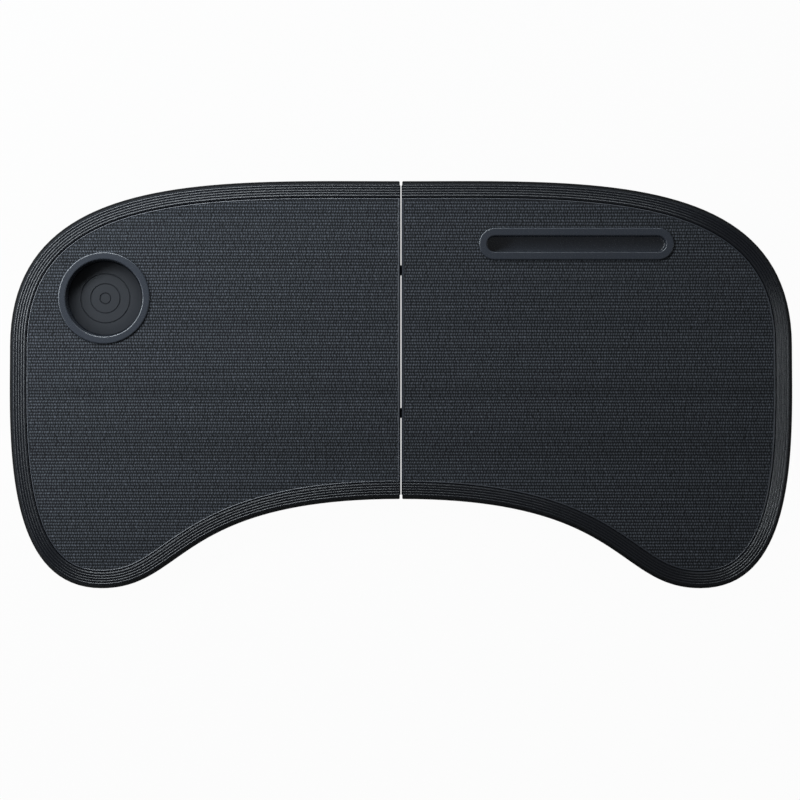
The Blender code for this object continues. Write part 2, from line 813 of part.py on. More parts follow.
def slot_insert(carrier):
    """The long trough with a raised bezel, on the right leaf."""
    top = MAT_TOP + CLEAR + BEZEL_HEIGHT
    floor = top - SLOT_DEPTH
    inner = SLOT_WIDTH / 2
    profile = [
        (inner, floor - SLOT_FLOOR),
        (TROUGH_R, floor),
        (TROUGH_R, MAT_TOP + CLEAR),
        *bezel(inner, inner + SLOT_BEZEL),
        (inner, floor + SLOT_WALL / 2),
        (inner - SLOT_WALL / 2, floor),
    ]
    insert = thing_of(skin(slot_rings(profile)))
    seat(insert, "slot_insert", INSERT, carrier, (*SLOT, 0))


def slot_retainer(carrier):
    """The frame that grips the trough under the deck."""
    inner = TROUGH_R + CLEAR
    outer = inner + SLOT_FRAME_BAND
    high = DECK_UNDER - CLEAR
    low = high - SLOT_FRAME
    profile = [(inner, low), (outer, low), (outer, high), (inner, high)]
    frame = thing_of(skin(slot_rings(profile), closed=True))
    seat(frame, "slot_retaining_frame", FITTING, carrier, (*SLOT, 0))


# Fold hinges


def link(name, y, carrier):
    """A link with an eye at each end, for one pin in each leaf."""
    half = LINK_WIDTH / 2
    body = thing_of(side_prism(stadium((0, 0), HINGE_X, LINK_R), -half, half))
    length = LINK_WIDTH + 2 * LINK_WALL
    bores = [rod(HINGE_PIN_R + CLEAR, (x, 0, 0), length) for x in (-HINGE_X, HINGE_X)]
    cut(body, *[thing_of(bore) for bore in bores])
    seat(body, name, FITTING, carrier, (0, y, HINGE_Z))


def fold_hinges(bodies):
    """Two links and their four pins."""
    length = LINK_SLOT + 2 * CHEEK - 2 * CLEAR
    for place, y in zip(("back", "front"), HINGE_YS):
        link(f"hinge_link_{place}", y, bodies["hinge_links"])
        for hand, side in SIDES:
            pin = thing_of(rod(HINGE_PIN_R, (0, 0, 0), length))
            at_pin = (side * HINGE_X, y, HINGE_Z)
            seat(pin, f"hinge_pin_{place}_{hand}", STEEL, bodies[f"{hand}_leaf"], at_pin)


# Legs, in a frame whose origin is on the pivot axis, with the folded leg towards -X


def leg_route():
    """The tube's centre line as (place, direction), round the two bends."""
    half, far = LEG_SPAN / 2, LEG_REACH - LEG_BEND_R
    route = [((-LEG_START, half), pi)]
    for i in range(BEND_STEPS + 1):
        turn = pi / 2 * i / BEND_STEPS
        bend = (-far - LEG_BEND_R * sin(turn), half - LEG_BEND_R * (1 - cos(turn)))
        route.append((bend, pi + turn))
    return route + [((x, -y), 3 * pi - turn) for (x, y), turn in reversed(route)]


def tube(route, radius, overrun=0):
    """A round tube along a level route, run on by overrun at both ends."""
    rings = []
    for i, ((x, y), turn) in enumerate(route):
        extra = -overrun if i == 0 else overrun if i == len(route) - 1 else 0
        centre = Vector((x + extra * cos(turn), y + extra * sin(turn), 0))
        across = Vector((-sin(turn), cos(turn), 0))
        ring = circle((0, 0), radius, TUBE_SIDES)
        rings.append([centre + across * u + Vector((0, 0, v)) for u, v in ring])
    return skin(rings)


def leg(side, hand, bodies):
    """One U leg: its tube, foot sleeve and the knuckles in its two ends."""
    carrier = bodies[f"{hand}_leg"]
    turn = 0 if side > 0 else pi
    centre = (side * LEG_X, LEG_Y, LEG_Z)
    route = leg_route()
    bent = thing_of(tube(route, TUBE_R))
    cut(bent, thing_of(tube(route, TUBE_R - TUBE_WALL, overrun=TUBE_R)))
    seat(bent, f"{hand}_leg_tube", TUBE, carrier, centre, turn, BAND_SMOOTH_TO)

    inner = TUBE_R + CLEAR
    outer = inner + SLEEVE_WALL
    half = SLEEVE_LENGTH / 2
    edge, end = outer - SLEEVE_ROUND, half - SLEEVE_ROUND
    profile = [(inner, -half), (edge, -half), (outer, -end), (outer, end), (edge, half), (inner, half)]
    sleeve = moved(laid(turned(profile, SLEEVE_SIDES, closed=True)), (-LEG_REACH, 0, 0))
    seat(thing_of(sleeve), f"{hand}_foot_sleeve", RUBBER, carrier, centre, turn)

    for place, y in (("rear", LEG_REAR_Y), ("front", LEG_FRONT_Y)):
        at_pivot = (side * LEG_X, y, LEG_Z)
        seat(knuckle(), f"{hand}_{place}_knuckle", FITTING, carrier, at_pivot, turn)


def knuckle():
    """The tube's end plug, with the pivot eye and the notch that the lock's nose catches."""
    eye = thing_of(rod(EYE_R, (0, 0, 0), 2 * EYE_HALF, EYE_SIDES))
    plug_r = TUBE_R - TUBE_WALL - CLEAR
    plug_end, neck_end, root = LEG_START + PLUG_LENGTH, LEG_START - CLEAR, EYE_R - EYE_WALL / 2
    profile = [(plug_r, plug_end), (plug_r, neck_end), (EYE_HALF, neck_end), (EYE_HALF, root)]
    stem = turned(profile, TUBE_SIDES)
    bmesh.ops.rotate(stem, matrix=Matrix.Rotation(-pi / 2, 3, "Y"), verts=stem.verts)
    join(eye, thing_of(stem))
    wide, high = 2 * EYE_HALF, NOSE / 2
    notch = block((EYE_R - NOSE, -wide, -high), (EYE_R + NOSE, wide, high))
    bmesh.ops.rotate(notch, matrix=Matrix.Rotation(radians(SWING), 3, "Y"), verts=notch.verts)
    return cut(eye, thing_of(notch), thing_of(rod(PIN_R + CLEAR, (0, 0, 0), 3 * EYE_HALF)))


def pivot_pin():
    """A pin with a flat head at both ends."""
    half = EYE_HALF + SIDE_GAP + BRACKET_CHEEK + CLEAR
    far = half + PIN_HEAD
    upper = [(PIN_R, half), (PIN_HEAD_R, half), (PIN_HEAD_R, far)]
    lower = [(radius, -height) for radius, height in reversed(upper)]
    return thing_of(laid(turned(lower + upper, PIN_SIDES)))


def cheek_outline(lock):
    """A bracket cheek in the XZ plane, round below the pivot, with the lock's side wall behind it."""
    top = EYE_R + EYE_GAP + BRACKET_BASE / 2
    stop = asin(LOCK_DROP / EYE_R) if lock else 0
    outline = arc((0, 0), EYE_R, pi, 2 * pi - stop, END_STEPS)
    if lock:
        outline.append((LOCK_END, -LOCK_DROP))
    return outline + [(LOCK_END if lock else EYE_R, top), (-EYE_R, top)]


def bracket(lock):
    """The clevis that holds a leg's eye under the deck, with the lock's housing if it has one."""
    rear = LOCK_END if lock else BRACKET_REAR
    low = EYE_R + EYE_GAP
    high = low + BRACKET_BASE
    inner = EYE_HALF + SIDE_GAP
    outer = inner + BRACKET_CHEEK
    base = rounded_box(-BRACKET_FRONT, rear, outer + BRACKET_FLANGE, BRACKET_CORNER)
    body = thing_of(prism(base, low, high))
    outline = cheek_outline(lock)
    cheeks = [side_prism(outline, inner, outer), side_prism(outline, -outer, -inner)]
    join(body, *[thing_of(cheek) for cheek in cheeks])
    if lock:
        add_lock_housing(body, inner, outer - CLEAR)
    bosses = [post(BOSS_R + CLEAR, 0, 2 * high, PIN_SIDES, (SCREW_FROM_PIVOT, y))
              for y in (SCREW_Y, -SCREW_Y)]
    bore = rod(PIN_R + CLEAR, (0, 0, 0), 3 * outer)
    return cut(body, thing_of(together(bosses)), thing_of(bore))


def add_lock_housing(body, inner, outer):
    """Adds the lock's back wall, its floor and its spring's seat, and opens the floor for the button."""
    low = EYE_R + EYE_GAP
    bottom = -LOCK_DROP + CLEAR
    back_x, end_x = LOCK_END - LOCK_WALL, LOCK_END - CLEAR
    back = block((back_x, -outer, bottom), (end_x, outer, low + BRACKET_BASE - CLEAR))
    front_x, floor_top = EYE_R + LOCK_FRONT_GAP, -LOCK_DROP + LOCK_FLOOR
    floor = block((front_x, -outer, bottom), (back_x + CLEAR, outer, floor_top))
    centre = (BUTTON_CENTRE, 0)
    spigot = post(SPRING_SEAT_R, low - SPRING_SEAT, low + BRACKET_BASE / 2, SCREW_SIDES, centre)
    join(body, thing_of(back), thing_of(floor), thing_of(spigot))
    half_x, half_y = BUTTON_CAP / 2 + CLEAR, inner - LOCK_FLOOR + CLEAR
    left, right = BUTTON_CENTRE - half_x, BUTTON_CENTRE + half_x
    cut(body, thing_of(block((left, -half_y, -2 * LOCK_DROP), (right, half_y, 0))))


def lock_button():
    """The button: a body with the nose, a narrower cap below it and a bore for the spring."""
    left, right = BUTTON_X, BUTTON_X + BUTTON_LENGTH
    shoulder_z, top = -LOCK_DROP + LOCK_FLOOR + CLEAR, NOSE / 2
    body = thing_of(block((left, -EYE_HALF, shoulder_z), (right, EYE_HALF, top)))
    tip, root = NOSE / 4, left + CLEAR
    wedge = [(LOCK_X, -tip), (LOCK_X, tip), (root, top - CLEAR), (root, -top)]
    nose = side_prism(wedge, -EYE_HALF / 2, EYE_HALF / 2)
    half_x, half_y = BUTTON_CAP / 2, EYE_HALF + SIDE_GAP - LOCK_FLOOR
    left, right = BUTTON_CENTRE - half_x, BUTTON_CENTRE + half_x
    low = -LOCK_DROP - BUTTON_PROUD
    cap = skin([
        box_level(left + CLEAR, right - CLEAR, half_y - CLEAR, low),
        box_level(left, right, half_y, low + CLEAR),
        box_level(left, right, half_y, shoulder_z + CLEAR),
    ])
    join(body, thing_of(nose), thing_of(cap))
    bore = post(BORE_R, shoulder_z + CLEAR, top + NOSE, PIN_SIDES, (BUTTON_CENTRE, 0))
    return cut(body, thing_of(bore))


def lock_spring():
    """The coil spring between the bracket's base and the button."""
    low = -LOCK_DROP + LOCK_FLOOR + 3 * CLEAR + LOCK_TRAVEL + SPRING_WIRE_R
    high = EYE_R + EYE_GAP - CLEAR - SPRING_WIRE_R
    steps = SPRING_TURNS * COIL_STEPS
    points = []
    for i in range(steps + 1):
        angle = 2 * pi * i / COIL_STEPS
        height = low + (high - low) * i / steps
        points.append((SPRING_R * cos(angle), SPRING_R * sin(angle), height))
    wire = bpy.data.curves.new("coil", "CURVE")
    wire.dimensions = "3D"
    wire.bevel_depth = SPRING_WIRE_R
    wire.bevel_resolution = 1
    wire.use_fill_caps = True
    line = wire.splines.new("POLY")
    line.points.add(len(points) - 1)
    for point, place in zip(line.points, points):
        point.co = (*place, 1)
    coil = bpy.data.objects.new("coil", wire)
    bpy.context.scene.collection.objects.link(coil)
    graph = bpy.context.evaluated_depsgraph_get()
    mesh = bpy.data.meshes.new_from_object(coil.evaluated_get(graph))
    bpy.data.objects.remove(coil, do_unlink=True)
    bm = bmesh.new()
    bm.from_mesh(mesh)
    bmesh.ops.remove_doubles(bm, verts=bm.verts, dist=MERGE)
    bmesh.ops.recalc_face_normals(bm, faces=bm.faces)
    return thing_of(moved(bm, (BUTTON_CENTRE, 0, 0)))


def screw_mesh():
    """The mesh that all screws share: a round head and a short shank, from where the head bears."""
    length = DECK_TOP - SCREW_WEB - CLEAR - SCREW_Z
    head = SCREW_HEAD_R
    profile = [(head, -SCREW_HEAD), (head, 0), (SCREW_R, 0), (SCREW_R, length)]
    mesh = bpy.data.meshes.new("screw")
    bm = turned(profile, SCREW_SIDES)
    bm.to_mesh(mesh)
    bm.free()
    finish(mesh, STEEL, SMOOTH_TO)
    return mesh


def clip():
    """The cradle that a folded arm lies in, open below, with a counterbore for its screw."""
    half = CLIP_LENGTH / 2
    inner = TUBE_R + CLEAR
    outer = inner + CLIP_WALL
    high = LEG_DROP - CLEAR
    hollow = arc((0, 0), inner, pi, 0, END_STEPS)
    section = [*hollow, (outer, 0), (outer, high), (-outer, high), (-outer, 0)]
    body = thing_of(skin([[(x, y, z) for y, z in section] for x in (-half, half)]))
    low = high - BRACKET_BASE
    counterbore = post(SCREW_HEAD_R + CLEAR, 0, low, PIN_SIDES)
    through = post(BOSS_R + CLEAR, low - BRACKET_BASE, 2 * high, PIN_SIDES)
    return cut(body, thing_of(counterbore), thing_of(through))


def leg_mounts(side, hand, bodies, shared_screw):
    """The brackets, pins, lock and clip of one leg, and their screws."""
    leaf = bodies[f"{hand}_leaf"]
    turn = 0 if side > 0 else pi
    for place, y, lock in (("rear", LEG_REAR_Y, False), ("front", LEG_FRONT_Y, True)):
        at_pivot = (side * LEG_X, y, LEG_Z)
        kind = "lock_bracket" if lock else "bracket"
        seat(bracket(lock), f"{hand}_{place}_{kind}", FITTING, leaf, at_pivot, turn)
        seat(pivot_pin(), f"{hand}_{place}_pivot_pin", STEEL, leaf, at_pivot, turn)
        if lock:
            button_body = bodies[f"{hand}_button"]
            seat(lock_button(), f"{hand}_lock_button", BUTTON, button_body, at_pivot, turn)
            seat(lock_spring(), f"{hand}_lock_spring", STEEL, leaf, at_pivot, turn)
    at_clip = (side * CLIP_FROM_FOLD, LEG_FRONT_Y, LEG_Z)
    seat(clip(), f"{hand}_leg_clip", FITTING, leaf, at_clip, turn)
    names = ["clip_screw"]
    names += [f"{place}_bracket_screw_{n}" for place in ("rear", "front") for n in (1, 2)]
    for name, (x, y) in zip(names, screw_places()):
        screw = bpy.data.objects.new(f"{hand}_{name}", shared_screw)
        bpy.context.scene.collection.objects.link(screw)
        hang(screw, leaf, (side * x, y, SCREW_Z))


# Feet and magnets


def foot_pad():
    """A plug-in rubber foot: a stem with a wider round head."""
    rim = RIM_Z - CLEAR
    profile = [(PAD_R, 0), (PAD_R, rim), (PAD_STEM_R, rim), (PAD_STEM_R, RIM_Z + PAD_STEM)]
    return thing_of(turned(profile, POST_SIDES))


def feet_and_magnet(side, hand, bodies):
    leaf = bodies[f"{hand}_leaf"]
    for name, (x, y) in zip(("back", "front", "shoulder", "lobe"), pad_places()):
        seat(foot_pad(), f"{hand}_{name}_pad", RUBBER, leaf, (side * x, y, 0))
    x, y = magnet_place()
    disc = thing_of(post(MAGNET_R, MAGNET_Z, MAGNET_Z + MAGNET, MAGNET_SIDES))
    seat(disc, f"{hand}_magnet", MAGNETIC, leaf, (side * x, y, 0))


# Assembly


def make_bodies():
    """One empty for each body, on the axis that it turns or slides on."""
    links = pivot("hinge_links", (0, 0, HINGE_Z))
    bodies = {"hinge_links": links}
    for hand, side in SIDES:
        leaf = pivot(f"{hand}_leaf", (side * HINGE_X, 0, HINGE_Z), links)
        leg_place = (side * LEG_X, LEG_Y, LEG_Z)
        button_place = (side * (LEG_X + BUTTON_CENTRE), LEG_FRONT_Y, LEG_Z)
        bodies[f"{hand}_leaf"] = leaf
        bodies[f"{hand}_leg"] = pivot(f"{hand}_leg", leg_place, leaf)
        bodies[f"{hand}_button"] = pivot(f"{hand}_button", button_place, leaf)
    return bodies


def main():
    clear_scene()
    bodies = make_bodies()
    shared_screw = screw_mesh()
    openings = {
        "left": [circle(CUP, WELL_R + gap, CUP_SIDES) for gap in (2 * CLEAR, RETAINER_BAND + 3 * CLEAR)],
        "right": [stadium(SLOT, SLOT_HALF, TROUGH_R + gap)
                  for gap in (2 * CLEAR, SLOT_FRAME_BAND + 3 * CLEAR)],
    }
    for hand, side in SIDES:
        leaf = bodies[f"{hand}_leaf"]
        hole, rib_limit = openings[hand]
        leaf_shell(side, leaf, f"{hand}_shell", hole, rib_limit)
        edge_band(side, leaf, f"{hand}_edge_band")
        top_mat(side, leaf, f"{hand}_top_mat", hole)
        leg(side, hand, bodies)
        leg_mounts(side, hand, bodies, shared_screw)
        feet_and_magnet(side, hand, bodies)
    cup_insert(bodies["left_leaf"])
    cup_pad(bodies["left_leaf"])
    cup_retainer(bodies["left_leaf"])
    slot_insert(bodies["right_leaf"])
    slot_retainer(bodies["right_leaf"])
    fold_hinges(bodies)


main()
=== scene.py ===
"""Looks of the folding car seat tray table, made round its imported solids.

X runs across the table, Y towards its back edge and Z up, in metres. The origin is on the floor
under the middle of the open table. What both leaves have is modelled for the right one and
mirrored for the left one.
"""

from math import atan2, cos, pi, radians, sin

import bmesh
import bpy
from mathutils import Matrix, Vector
from mathutils.geometry import interpolate_bezier


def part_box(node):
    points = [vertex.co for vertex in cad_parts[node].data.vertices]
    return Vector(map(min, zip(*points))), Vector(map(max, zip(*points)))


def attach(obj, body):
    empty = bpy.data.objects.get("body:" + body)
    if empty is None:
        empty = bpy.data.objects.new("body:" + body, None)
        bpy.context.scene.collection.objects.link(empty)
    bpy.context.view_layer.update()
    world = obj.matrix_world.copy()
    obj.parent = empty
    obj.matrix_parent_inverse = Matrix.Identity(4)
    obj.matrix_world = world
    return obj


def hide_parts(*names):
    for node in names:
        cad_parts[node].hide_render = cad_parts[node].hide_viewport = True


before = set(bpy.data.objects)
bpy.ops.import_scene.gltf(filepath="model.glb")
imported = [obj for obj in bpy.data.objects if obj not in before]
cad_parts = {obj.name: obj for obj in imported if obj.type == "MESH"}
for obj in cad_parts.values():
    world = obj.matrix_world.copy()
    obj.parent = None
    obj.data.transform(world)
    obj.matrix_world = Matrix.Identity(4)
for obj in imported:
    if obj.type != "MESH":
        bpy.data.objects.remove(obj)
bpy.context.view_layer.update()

MM = 0.001
SIDES = (("left", -1), ("right", 1))

# Free edge of the right leaf. Each curve is its start, two handles and end, in mm
FOLD_X = 1.1 * MM
EDGE_CURVES = (
    ((1.1, 182), (170.1, 182), (350, 192), (350, 34)),
    ((350, 34), (350, -41), (358.5, -182), (268.5, -182)),
    ((268.5, -182), (193.5, -182), (202.6, -102), (1.1, -102)),
)
EDGE_STEPS = (44, 36, 44)
EDGE_CORNER = 1 * MM
CORNER_STEPS = 6

# Ridged band, with insets from the free edge. The outer side swells by shares of the bulge at
# shares of its height, and a ridge rises by shares of its height at shares of its width
BAND_WIDTH = 14.2 * MM
BAND_TOP = 28.1 * MM
BAND_FALL = 1.4 * MM
BAND_FOOT_Z = 5 * MM
BAND_FOOT_BREAK = 0.5 * MM
BAND_SIDE = 2.9 * MM
BAND_THICK = 2.6 * MM
BAND_LAND = 0.3 * MM
BAND_BULGE = 0.6 * MM
BAND_SWELL = ((0.4, 0.2), (0.85, 0.45), (1, 0.62), (0.9, 0.78), (0.55, 0.9))
RIDGES = 5
RIDGES_IN = 2.3 * MM
RIDGE_HEIGHT = 0.7 * MM
RIDGE_SHAPE = (
    (0.07, 0.2), (0.25, 0.54), (0.44, 0.86), (0.58, 1), (0.71, 0.9), (0.83, 0.58), (0.94, 0.22),
)

# Moulded shell. The fold wall leans towards the fold line between two heights, and the lip is
# rounded by (in from its edge, under its top, away from the fold) in mm
CLEAR = 0.3 * MM
RIM_Z = 2.2 * MM
DECK_UNDER = 24 * MM
DECK_TOP = 26.5 * MM
LIP_TOP = 28.4 * MM
WALL = 2.6 * MM
SKIRT_IN = 3.2 * MM
LIP_IN = 15.1 * MM
SHOULDER_IN = (2 * SKIRT_IN + LIP_IN) / 3
LIP = 1.1 * MM
LIP_ROUND = ((0, 0.45, 0), (0.05, 0.3, 0.12), (0.5, 0.02, 0.45))
FOLD_WALL = 2.4 * MM
FOLD_LIP = 1.6 * MM
FOLD_NEAR = 0.4 * MM
LEAN_LOW = 4.2 * MM
LEAN_HIGH = 7 * MM
EDGE_BREAK = 0.3 * MM
RIB = 1.6 * MM
RIB_Z = 20 * MM
RIB_PITCH = 82 * MM
RIBS_ALONG = 4
RIBS_ACROSS = 3
RIB_REACH = (700 * MM, 400 * MM)
BELOW = -5 * MM
ABOVE = 35 * MM

# Woven mat. A row of thread rises to the sine of its share of the way across it
MAT_IN = 16.4 * MM
MAT_FOLD_X = 3 * MM
MAT_UNDER = 26.8 * MM
MAT_TOP = 28 * MM
MAT_REACH = 360 * MM
MAT_CUT_UNDER = 2 * MM
ROWS_EACH_WAY = 70
ROW_PITCH = 2.74 * MM
ROW_RELIEF = 0.22 * MM
ROW_SHARES = (0, 0.2, 0.5, 0.8)
ROW_FULLNESS = 0.8
STITCH = 2.34 * MM
STITCH_LEAN = 0.35
STITCH_DRIFT = 1.9
STITCH_DEPTH = 0.84
THREAD_THIN = 1.9
LOOP_BETWEEN = 0.25
KNIT_DEPTH = 0.35 * MM
KNIT_BUMP = 0.8
KNIT_ROUGH = 0.78
KNIT_SPECULAR = 0.25
KNIT_SHEEN = (0.08, 0.5)
# Painted shade in the knit's hollows, and the thread's colour at its raised tops
KNIT_PAINTED_SHADE = (0.0005, 0.0008, 0.0014, 1)
KNIT_LIGHT = (0.126, 0.138, 0.161, 1)
ROW_DRAWS_APART = 7.3
DRIFT_SCALE = 0.5
PATCH_SCALE = 1.4
PATCH_RANGE = (0.15, 1)
LEAST_TONE = 0.45
PATCH_TONE = 0.5
ROW_TONE = 0.3
FIBRE_SCALE = 2400
FIBRE_RANGE = (0.75, 1.25)
FIBRE_HEIGHT = 0.12

# Bezels of the cup well and the slot
BEZEL_UNDER = 28.3 * MM
BEZEL_TOP = 30.1 * MM
BEZEL_ROUND = 1.2 * MM
BEZEL_FLAT = 0.2 * MM

# Cup well, and its pad, whose lower edge is (out, up) in mm
CUP = (-265.9 * MM, 77.7 * MM)
CUP_R = 34.4 * MM
CUP_OUTER_R = 41.2 * MM
WELL_R = 36.4 * MM
CUP_FLOOR_Z = 10 * MM
CUP_BOTTOM_Z = 8 * MM
CUP_FOOT_R = 33.6 * MM
CUP_FOOT_IN = 1.4 * MM
CUP_FOOT_ROUND = 2 * MM
CUP_FLOOR_ROUND = 2.2 * MM
CUP_PAD_TOP = 11.8 * MM
CUP_PAD_GAP = 0.1 * MM
CUP_PAD_EDGE = ((0, 0), (0.7, 0.15), (1.4, 0.7))
CUP_PAD_OUT = 1.3 * MM
CUP_PAD_ROUND = 0.4 * MM
GROOVE_RADII = (22.1 * MM, 13.2 * MM, 4.8 * MM)
GROOVE_HALF = 0.55 * MM
GROOVE_FLOOR_HALF = 0.2 * MM
GROOVE_DEPTH = 0.8 * MM

# Slot and its trough
SLOT = (157 * MM, 126.1 * MM)
SLOT_HALF = 73 * MM
SLOT_R = 7.1 * MM
SLOT_OUTER_R = 14.4 * MM
SLOT_FLOOR_Z = 15.5 * MM
SLOT_FLOOR_ROUND = 1.2 * MM
SLOT_BOTTOM_Z = 13.7 * MM
SLOT_END_STEPS = 16
TROUGH_R = 8.9 * MM
TROUGH_FOOT_IN = 1.5 * MM
TROUGH_ROUND = 1.4 * MM

# What grips the cup well and the trough under the deck
RETAINER_BAND = 4.3 * MM
RETAINER_TOP = 23.7 * MM
RING_NUT = 5 * MM
RING_NUT_BREAK = 0.3 * MM
NOTCHES = 6
NOTCH_WIDTH = 7 * MM
NOTCH_DEPTH = 2.5 * MM
CLAMP_FRAME = 3 * MM
CLAMP_FRAME_BREAK = 0.4 * MM

# Fold hinges
HINGE_X = 5.3 * MM
HINGE_Z = 5 * MM
HINGE_YS = (("back", 103.2 * MM), ("front", -25.4 * MM))
LINK_SLOT = 9.6 * MM
LINK_R = 3.2 * MM
HINGE_PIN_R = 1.5 * MM
HINGE_PIN_HALF = 7.8 * MM
CHEEK = 3.3 * MM
CHEEK_WALL = 1 * MM
CHEEK_X = 9.1 * MM

# Legs, and their sleeves, whose grooves are points of (along, depth) in mm
LEG_X = 209 * MM
LEG_Y = 10 * MM
LEG_Z = 12.5 * MM
LEG_HALF_SPAN = 82 * MM
REAR_ARM_Y = LEG_Y + LEG_HALF_SPAN
FRONT_ARM_Y = LEG_Y - LEG_HALF_SPAN
FOOT_X = 26 * MM
TUBE_R = 6.5 * MM
TUBE_WALL = 1.2 * MM
TUBE_SIDES = 24
TUBE_OVERRUN = 10 * MM
LEG_BEND_R = 22 * MM
LEG_BEND_STEPS = 10
LEG_START = 11 * MM
SLEEVE_R = 9 * MM
SLEEVE_HALF = 45 * MM
SLEEVE_ROUND = 0.8 * MM
SLEEVE_SIDES = 48
SLEEVE_GROOVES_EACH_WAY = 6
SLEEVE_GROOVE_PITCH = 6 * MM
SLEEVE_GROOVE = ((-0.9, 0), (-0.5, 0.45), (0.5, 0.45), (0.9, 0))

# Leg pins and screws. The dome of a pin's head is (in from its rim, back from its crown) in mm,
# and a screw's (out from its axis, back from its crown). The cross recess narrows inwards
PIN_R = 3 * MM
PIN_HALF = 9.7 * MM
PIN_HEAD = 1.2 * MM
PIN_HEAD_R = 4.5 * MM
PIN_HEAD_BREAK = 0.2 * MM
PIN_HEAD_DOME = ((0, 0.5), (0.4, 0.15), (1.1, 0))
SCREW_Z = 20.9 * MM
SCREW_HEAD_R = 4.2 * MM
SCREW_HEAD = 1.4 * MM
SCREW_DOME = ((0, 0), (2, 0.04), (3.1, 0.22), (3.8, 0.6))
SCREW_HEAD_BREAK = (0.1 * MM, 0.15 * MM)
SCREW_RECESS = (2.2 * MM, 0.42 * MM)
SCREW_RECESS_LEVELS = ((-1 * MM, 1.3), (1.1 * MM, 0.6))
SCREW_R = 1.4 * MM
SCREW_TIP = (0.4 * MM, 0.3 * MM)
SCREW_END = 25.6 * MM
SCREW_SIDES = 24
SCREW_X = 212 * MM
SCREW_Y = 14.2 * MM
BOSS_R = 3.2 * MM
BOSS_DROP = 2.5 * MM

# Leg brackets, clips and locks
BRACKET_LEFT = 10 * MM
BRACKET_REAR = 13 * MM
LOCK_REAR = 23.1 * MM
BRACKET_HALF = 19 * MM
CLIP_X = 62 * MM
CLIP_HALF = (7.3 * MM, 9.6 * MM)
CLIP_ROUND = 0.3 * MM
FITTING_ROUND = 0.35 * MM
BUTTON_X = 224.2 * MM
SPRING_R = 2.35 * MM
SPRING_WIRE_R = 0.35 * MM
SPRING_WIRE_SIDES = 8
SPRING_TURNS = 3
SPRING_TURN_STEPS = 24
SPRING_LOW = 12.87 * MM
SPRING_HIGH = 20.55 * MM

# Foot pads, whose dished soles are (out from the axis, up) in mm, and magnets
PAD_NAMES = ("back", "front", "shoulder", "lobe")
PAD_R = 7.7 * MM
PAD_ROUND = 0.4 * MM
PAD_SOLE = ((0, 0.35), (4.6, 0.35), (5, 0), (7.2, 0))
PAD_HEAD_TOP = 1.9 * MM
PAD_STEM_R = 6 * MM
PAD_STEM_TOP = 8.2 * MM
PAD_STEM_BREAK = 0.4 * MM
PAD_POST_R = 7.7 * MM
MAGNET_R = 5 * MM
MAGNET_LOW = 0.7 * MM
MAGNET_HIGH = 3.7 * MM
MAGNET_POST_R = 7 * MM

# Sides and broken corners of turned pieces, smallest gap between corners, and the turns in
# degrees from which an edge is rounded, and up to which a CAD node's faces are one
WIDE_SIDES = 96
PAD_SIDES = 40
SMALL_SIDES = 32
TURNED_BREAK = 0.3 * MM
MERGE = 0.001 * MM
SHARP = 32
FLAT = 2

# Studio: lamps as (name, place, turn in degrees, size, watts), floor, backdrop and camera
LAMPS = (
    ("key_strip", (-0.66, 0.5, 0.7), 34, (1.4, 0.32), 16.9),
    ("left_strip", (-1.0, -0.05, 0.75), 90, (0.7, 0.2), 2.3),
    ("right_strip", (1.05, -0.05, 0.42), 90, (0.7, 0.16), 1.5),
    ("back_strip", (0.22, 0.88, 0.6), 0, (0.6, 0.1), 1.8),
    ("fill_panel", (1.2, -1, 1.6), 130, (1.2, 1.2), 0.6),
)
LAMP_COLOUR = (0.88, 0.95, 1)
SKY_COLOUR = (0.96, 0.98, 1, 1)
SKY_STRENGTH = 0.1
FLOOR_PAPER = 0.3
FLOOR_SHADE = 0.03
BACKDROP = ((0, 0), (8, 0), (9, 0.15), (9.7, 0.7), (10, 1.6), (10, 4))
BACKDROP_SIDES = 64
CAMERA_PLACE = (-0.0009, -0.0137, 3.011)
CAMERA_LENS = 150
CAMERA_SENSOR = 36


# Shapes


def corner_arc(centre, radius, start, end, steps=4):
    """Points along an arc in a plane, both ends included, with its angles in degrees."""
    angles = [radians(start + (end - start) * i / steps) for i in range(steps + 1)]
    return [(centre[0] + radius * cos(a), centre[1] + radius * sin(a)) for a in angles]


def circle(centre, radius, sides):
    """Points all round a circle."""
    return corner_arc(centre, radius, 0, 360 - 360 / sides, sides - 1)


def bar_profile(radius, low, high):
    """A round bar or disc as (radius, height), with its corners broken."""
    return [
        (0, low), (radius - TURNED_BREAK, low), (radius, low + TURNED_BREAK),
        (radius, high - TURNED_BREAK), (radius - TURNED_BREAK, high), (0, high),
    ]


def closed_up(bm):
    """A shape with its doubles merged, its holes filled and its faces pointing outwards."""
    bmesh.ops.remove_doubles(bm, verts=bm.verts, dist=MERGE)
    boundary = [edge for edge in bm.edges if edge.is_boundary]
    bmesh.ops.holes_fill(bm, edges=boundary, sides=0)
    bmesh.ops.recalc_face_normals(bm, faces=bm.faces)
    return bm


def swept(section, stops, open_section=False):
    """A section of (across, up) carried from stop to stop, each the section plane's placing."""
    bm = bmesh.new()
    corners = [bm.verts.new(stops[0] @ Vector((x, 0, z))) for x, z in section]
    pairs = list(zip(corners, corners[1:])) + ([] if open_section else [(corners[-1], corners[0])])
    edges = [bm.edges.new(pair) for pair in pairs]
    for before, after in zip(stops, stops[1:]):
        made = bmesh.ops.extrude_edge_only(bm, edges=edges)["geom"]
        fresh = [item for item in made if isinstance(item, bmesh.types.BMVert)]
        edges = [item for item in made if isinstance(item, bmesh.types.BMEdge)]
        bmesh.ops.transform(bm, matrix=after @ before.inverted(), verts=fresh)
    return closed_up(bm)


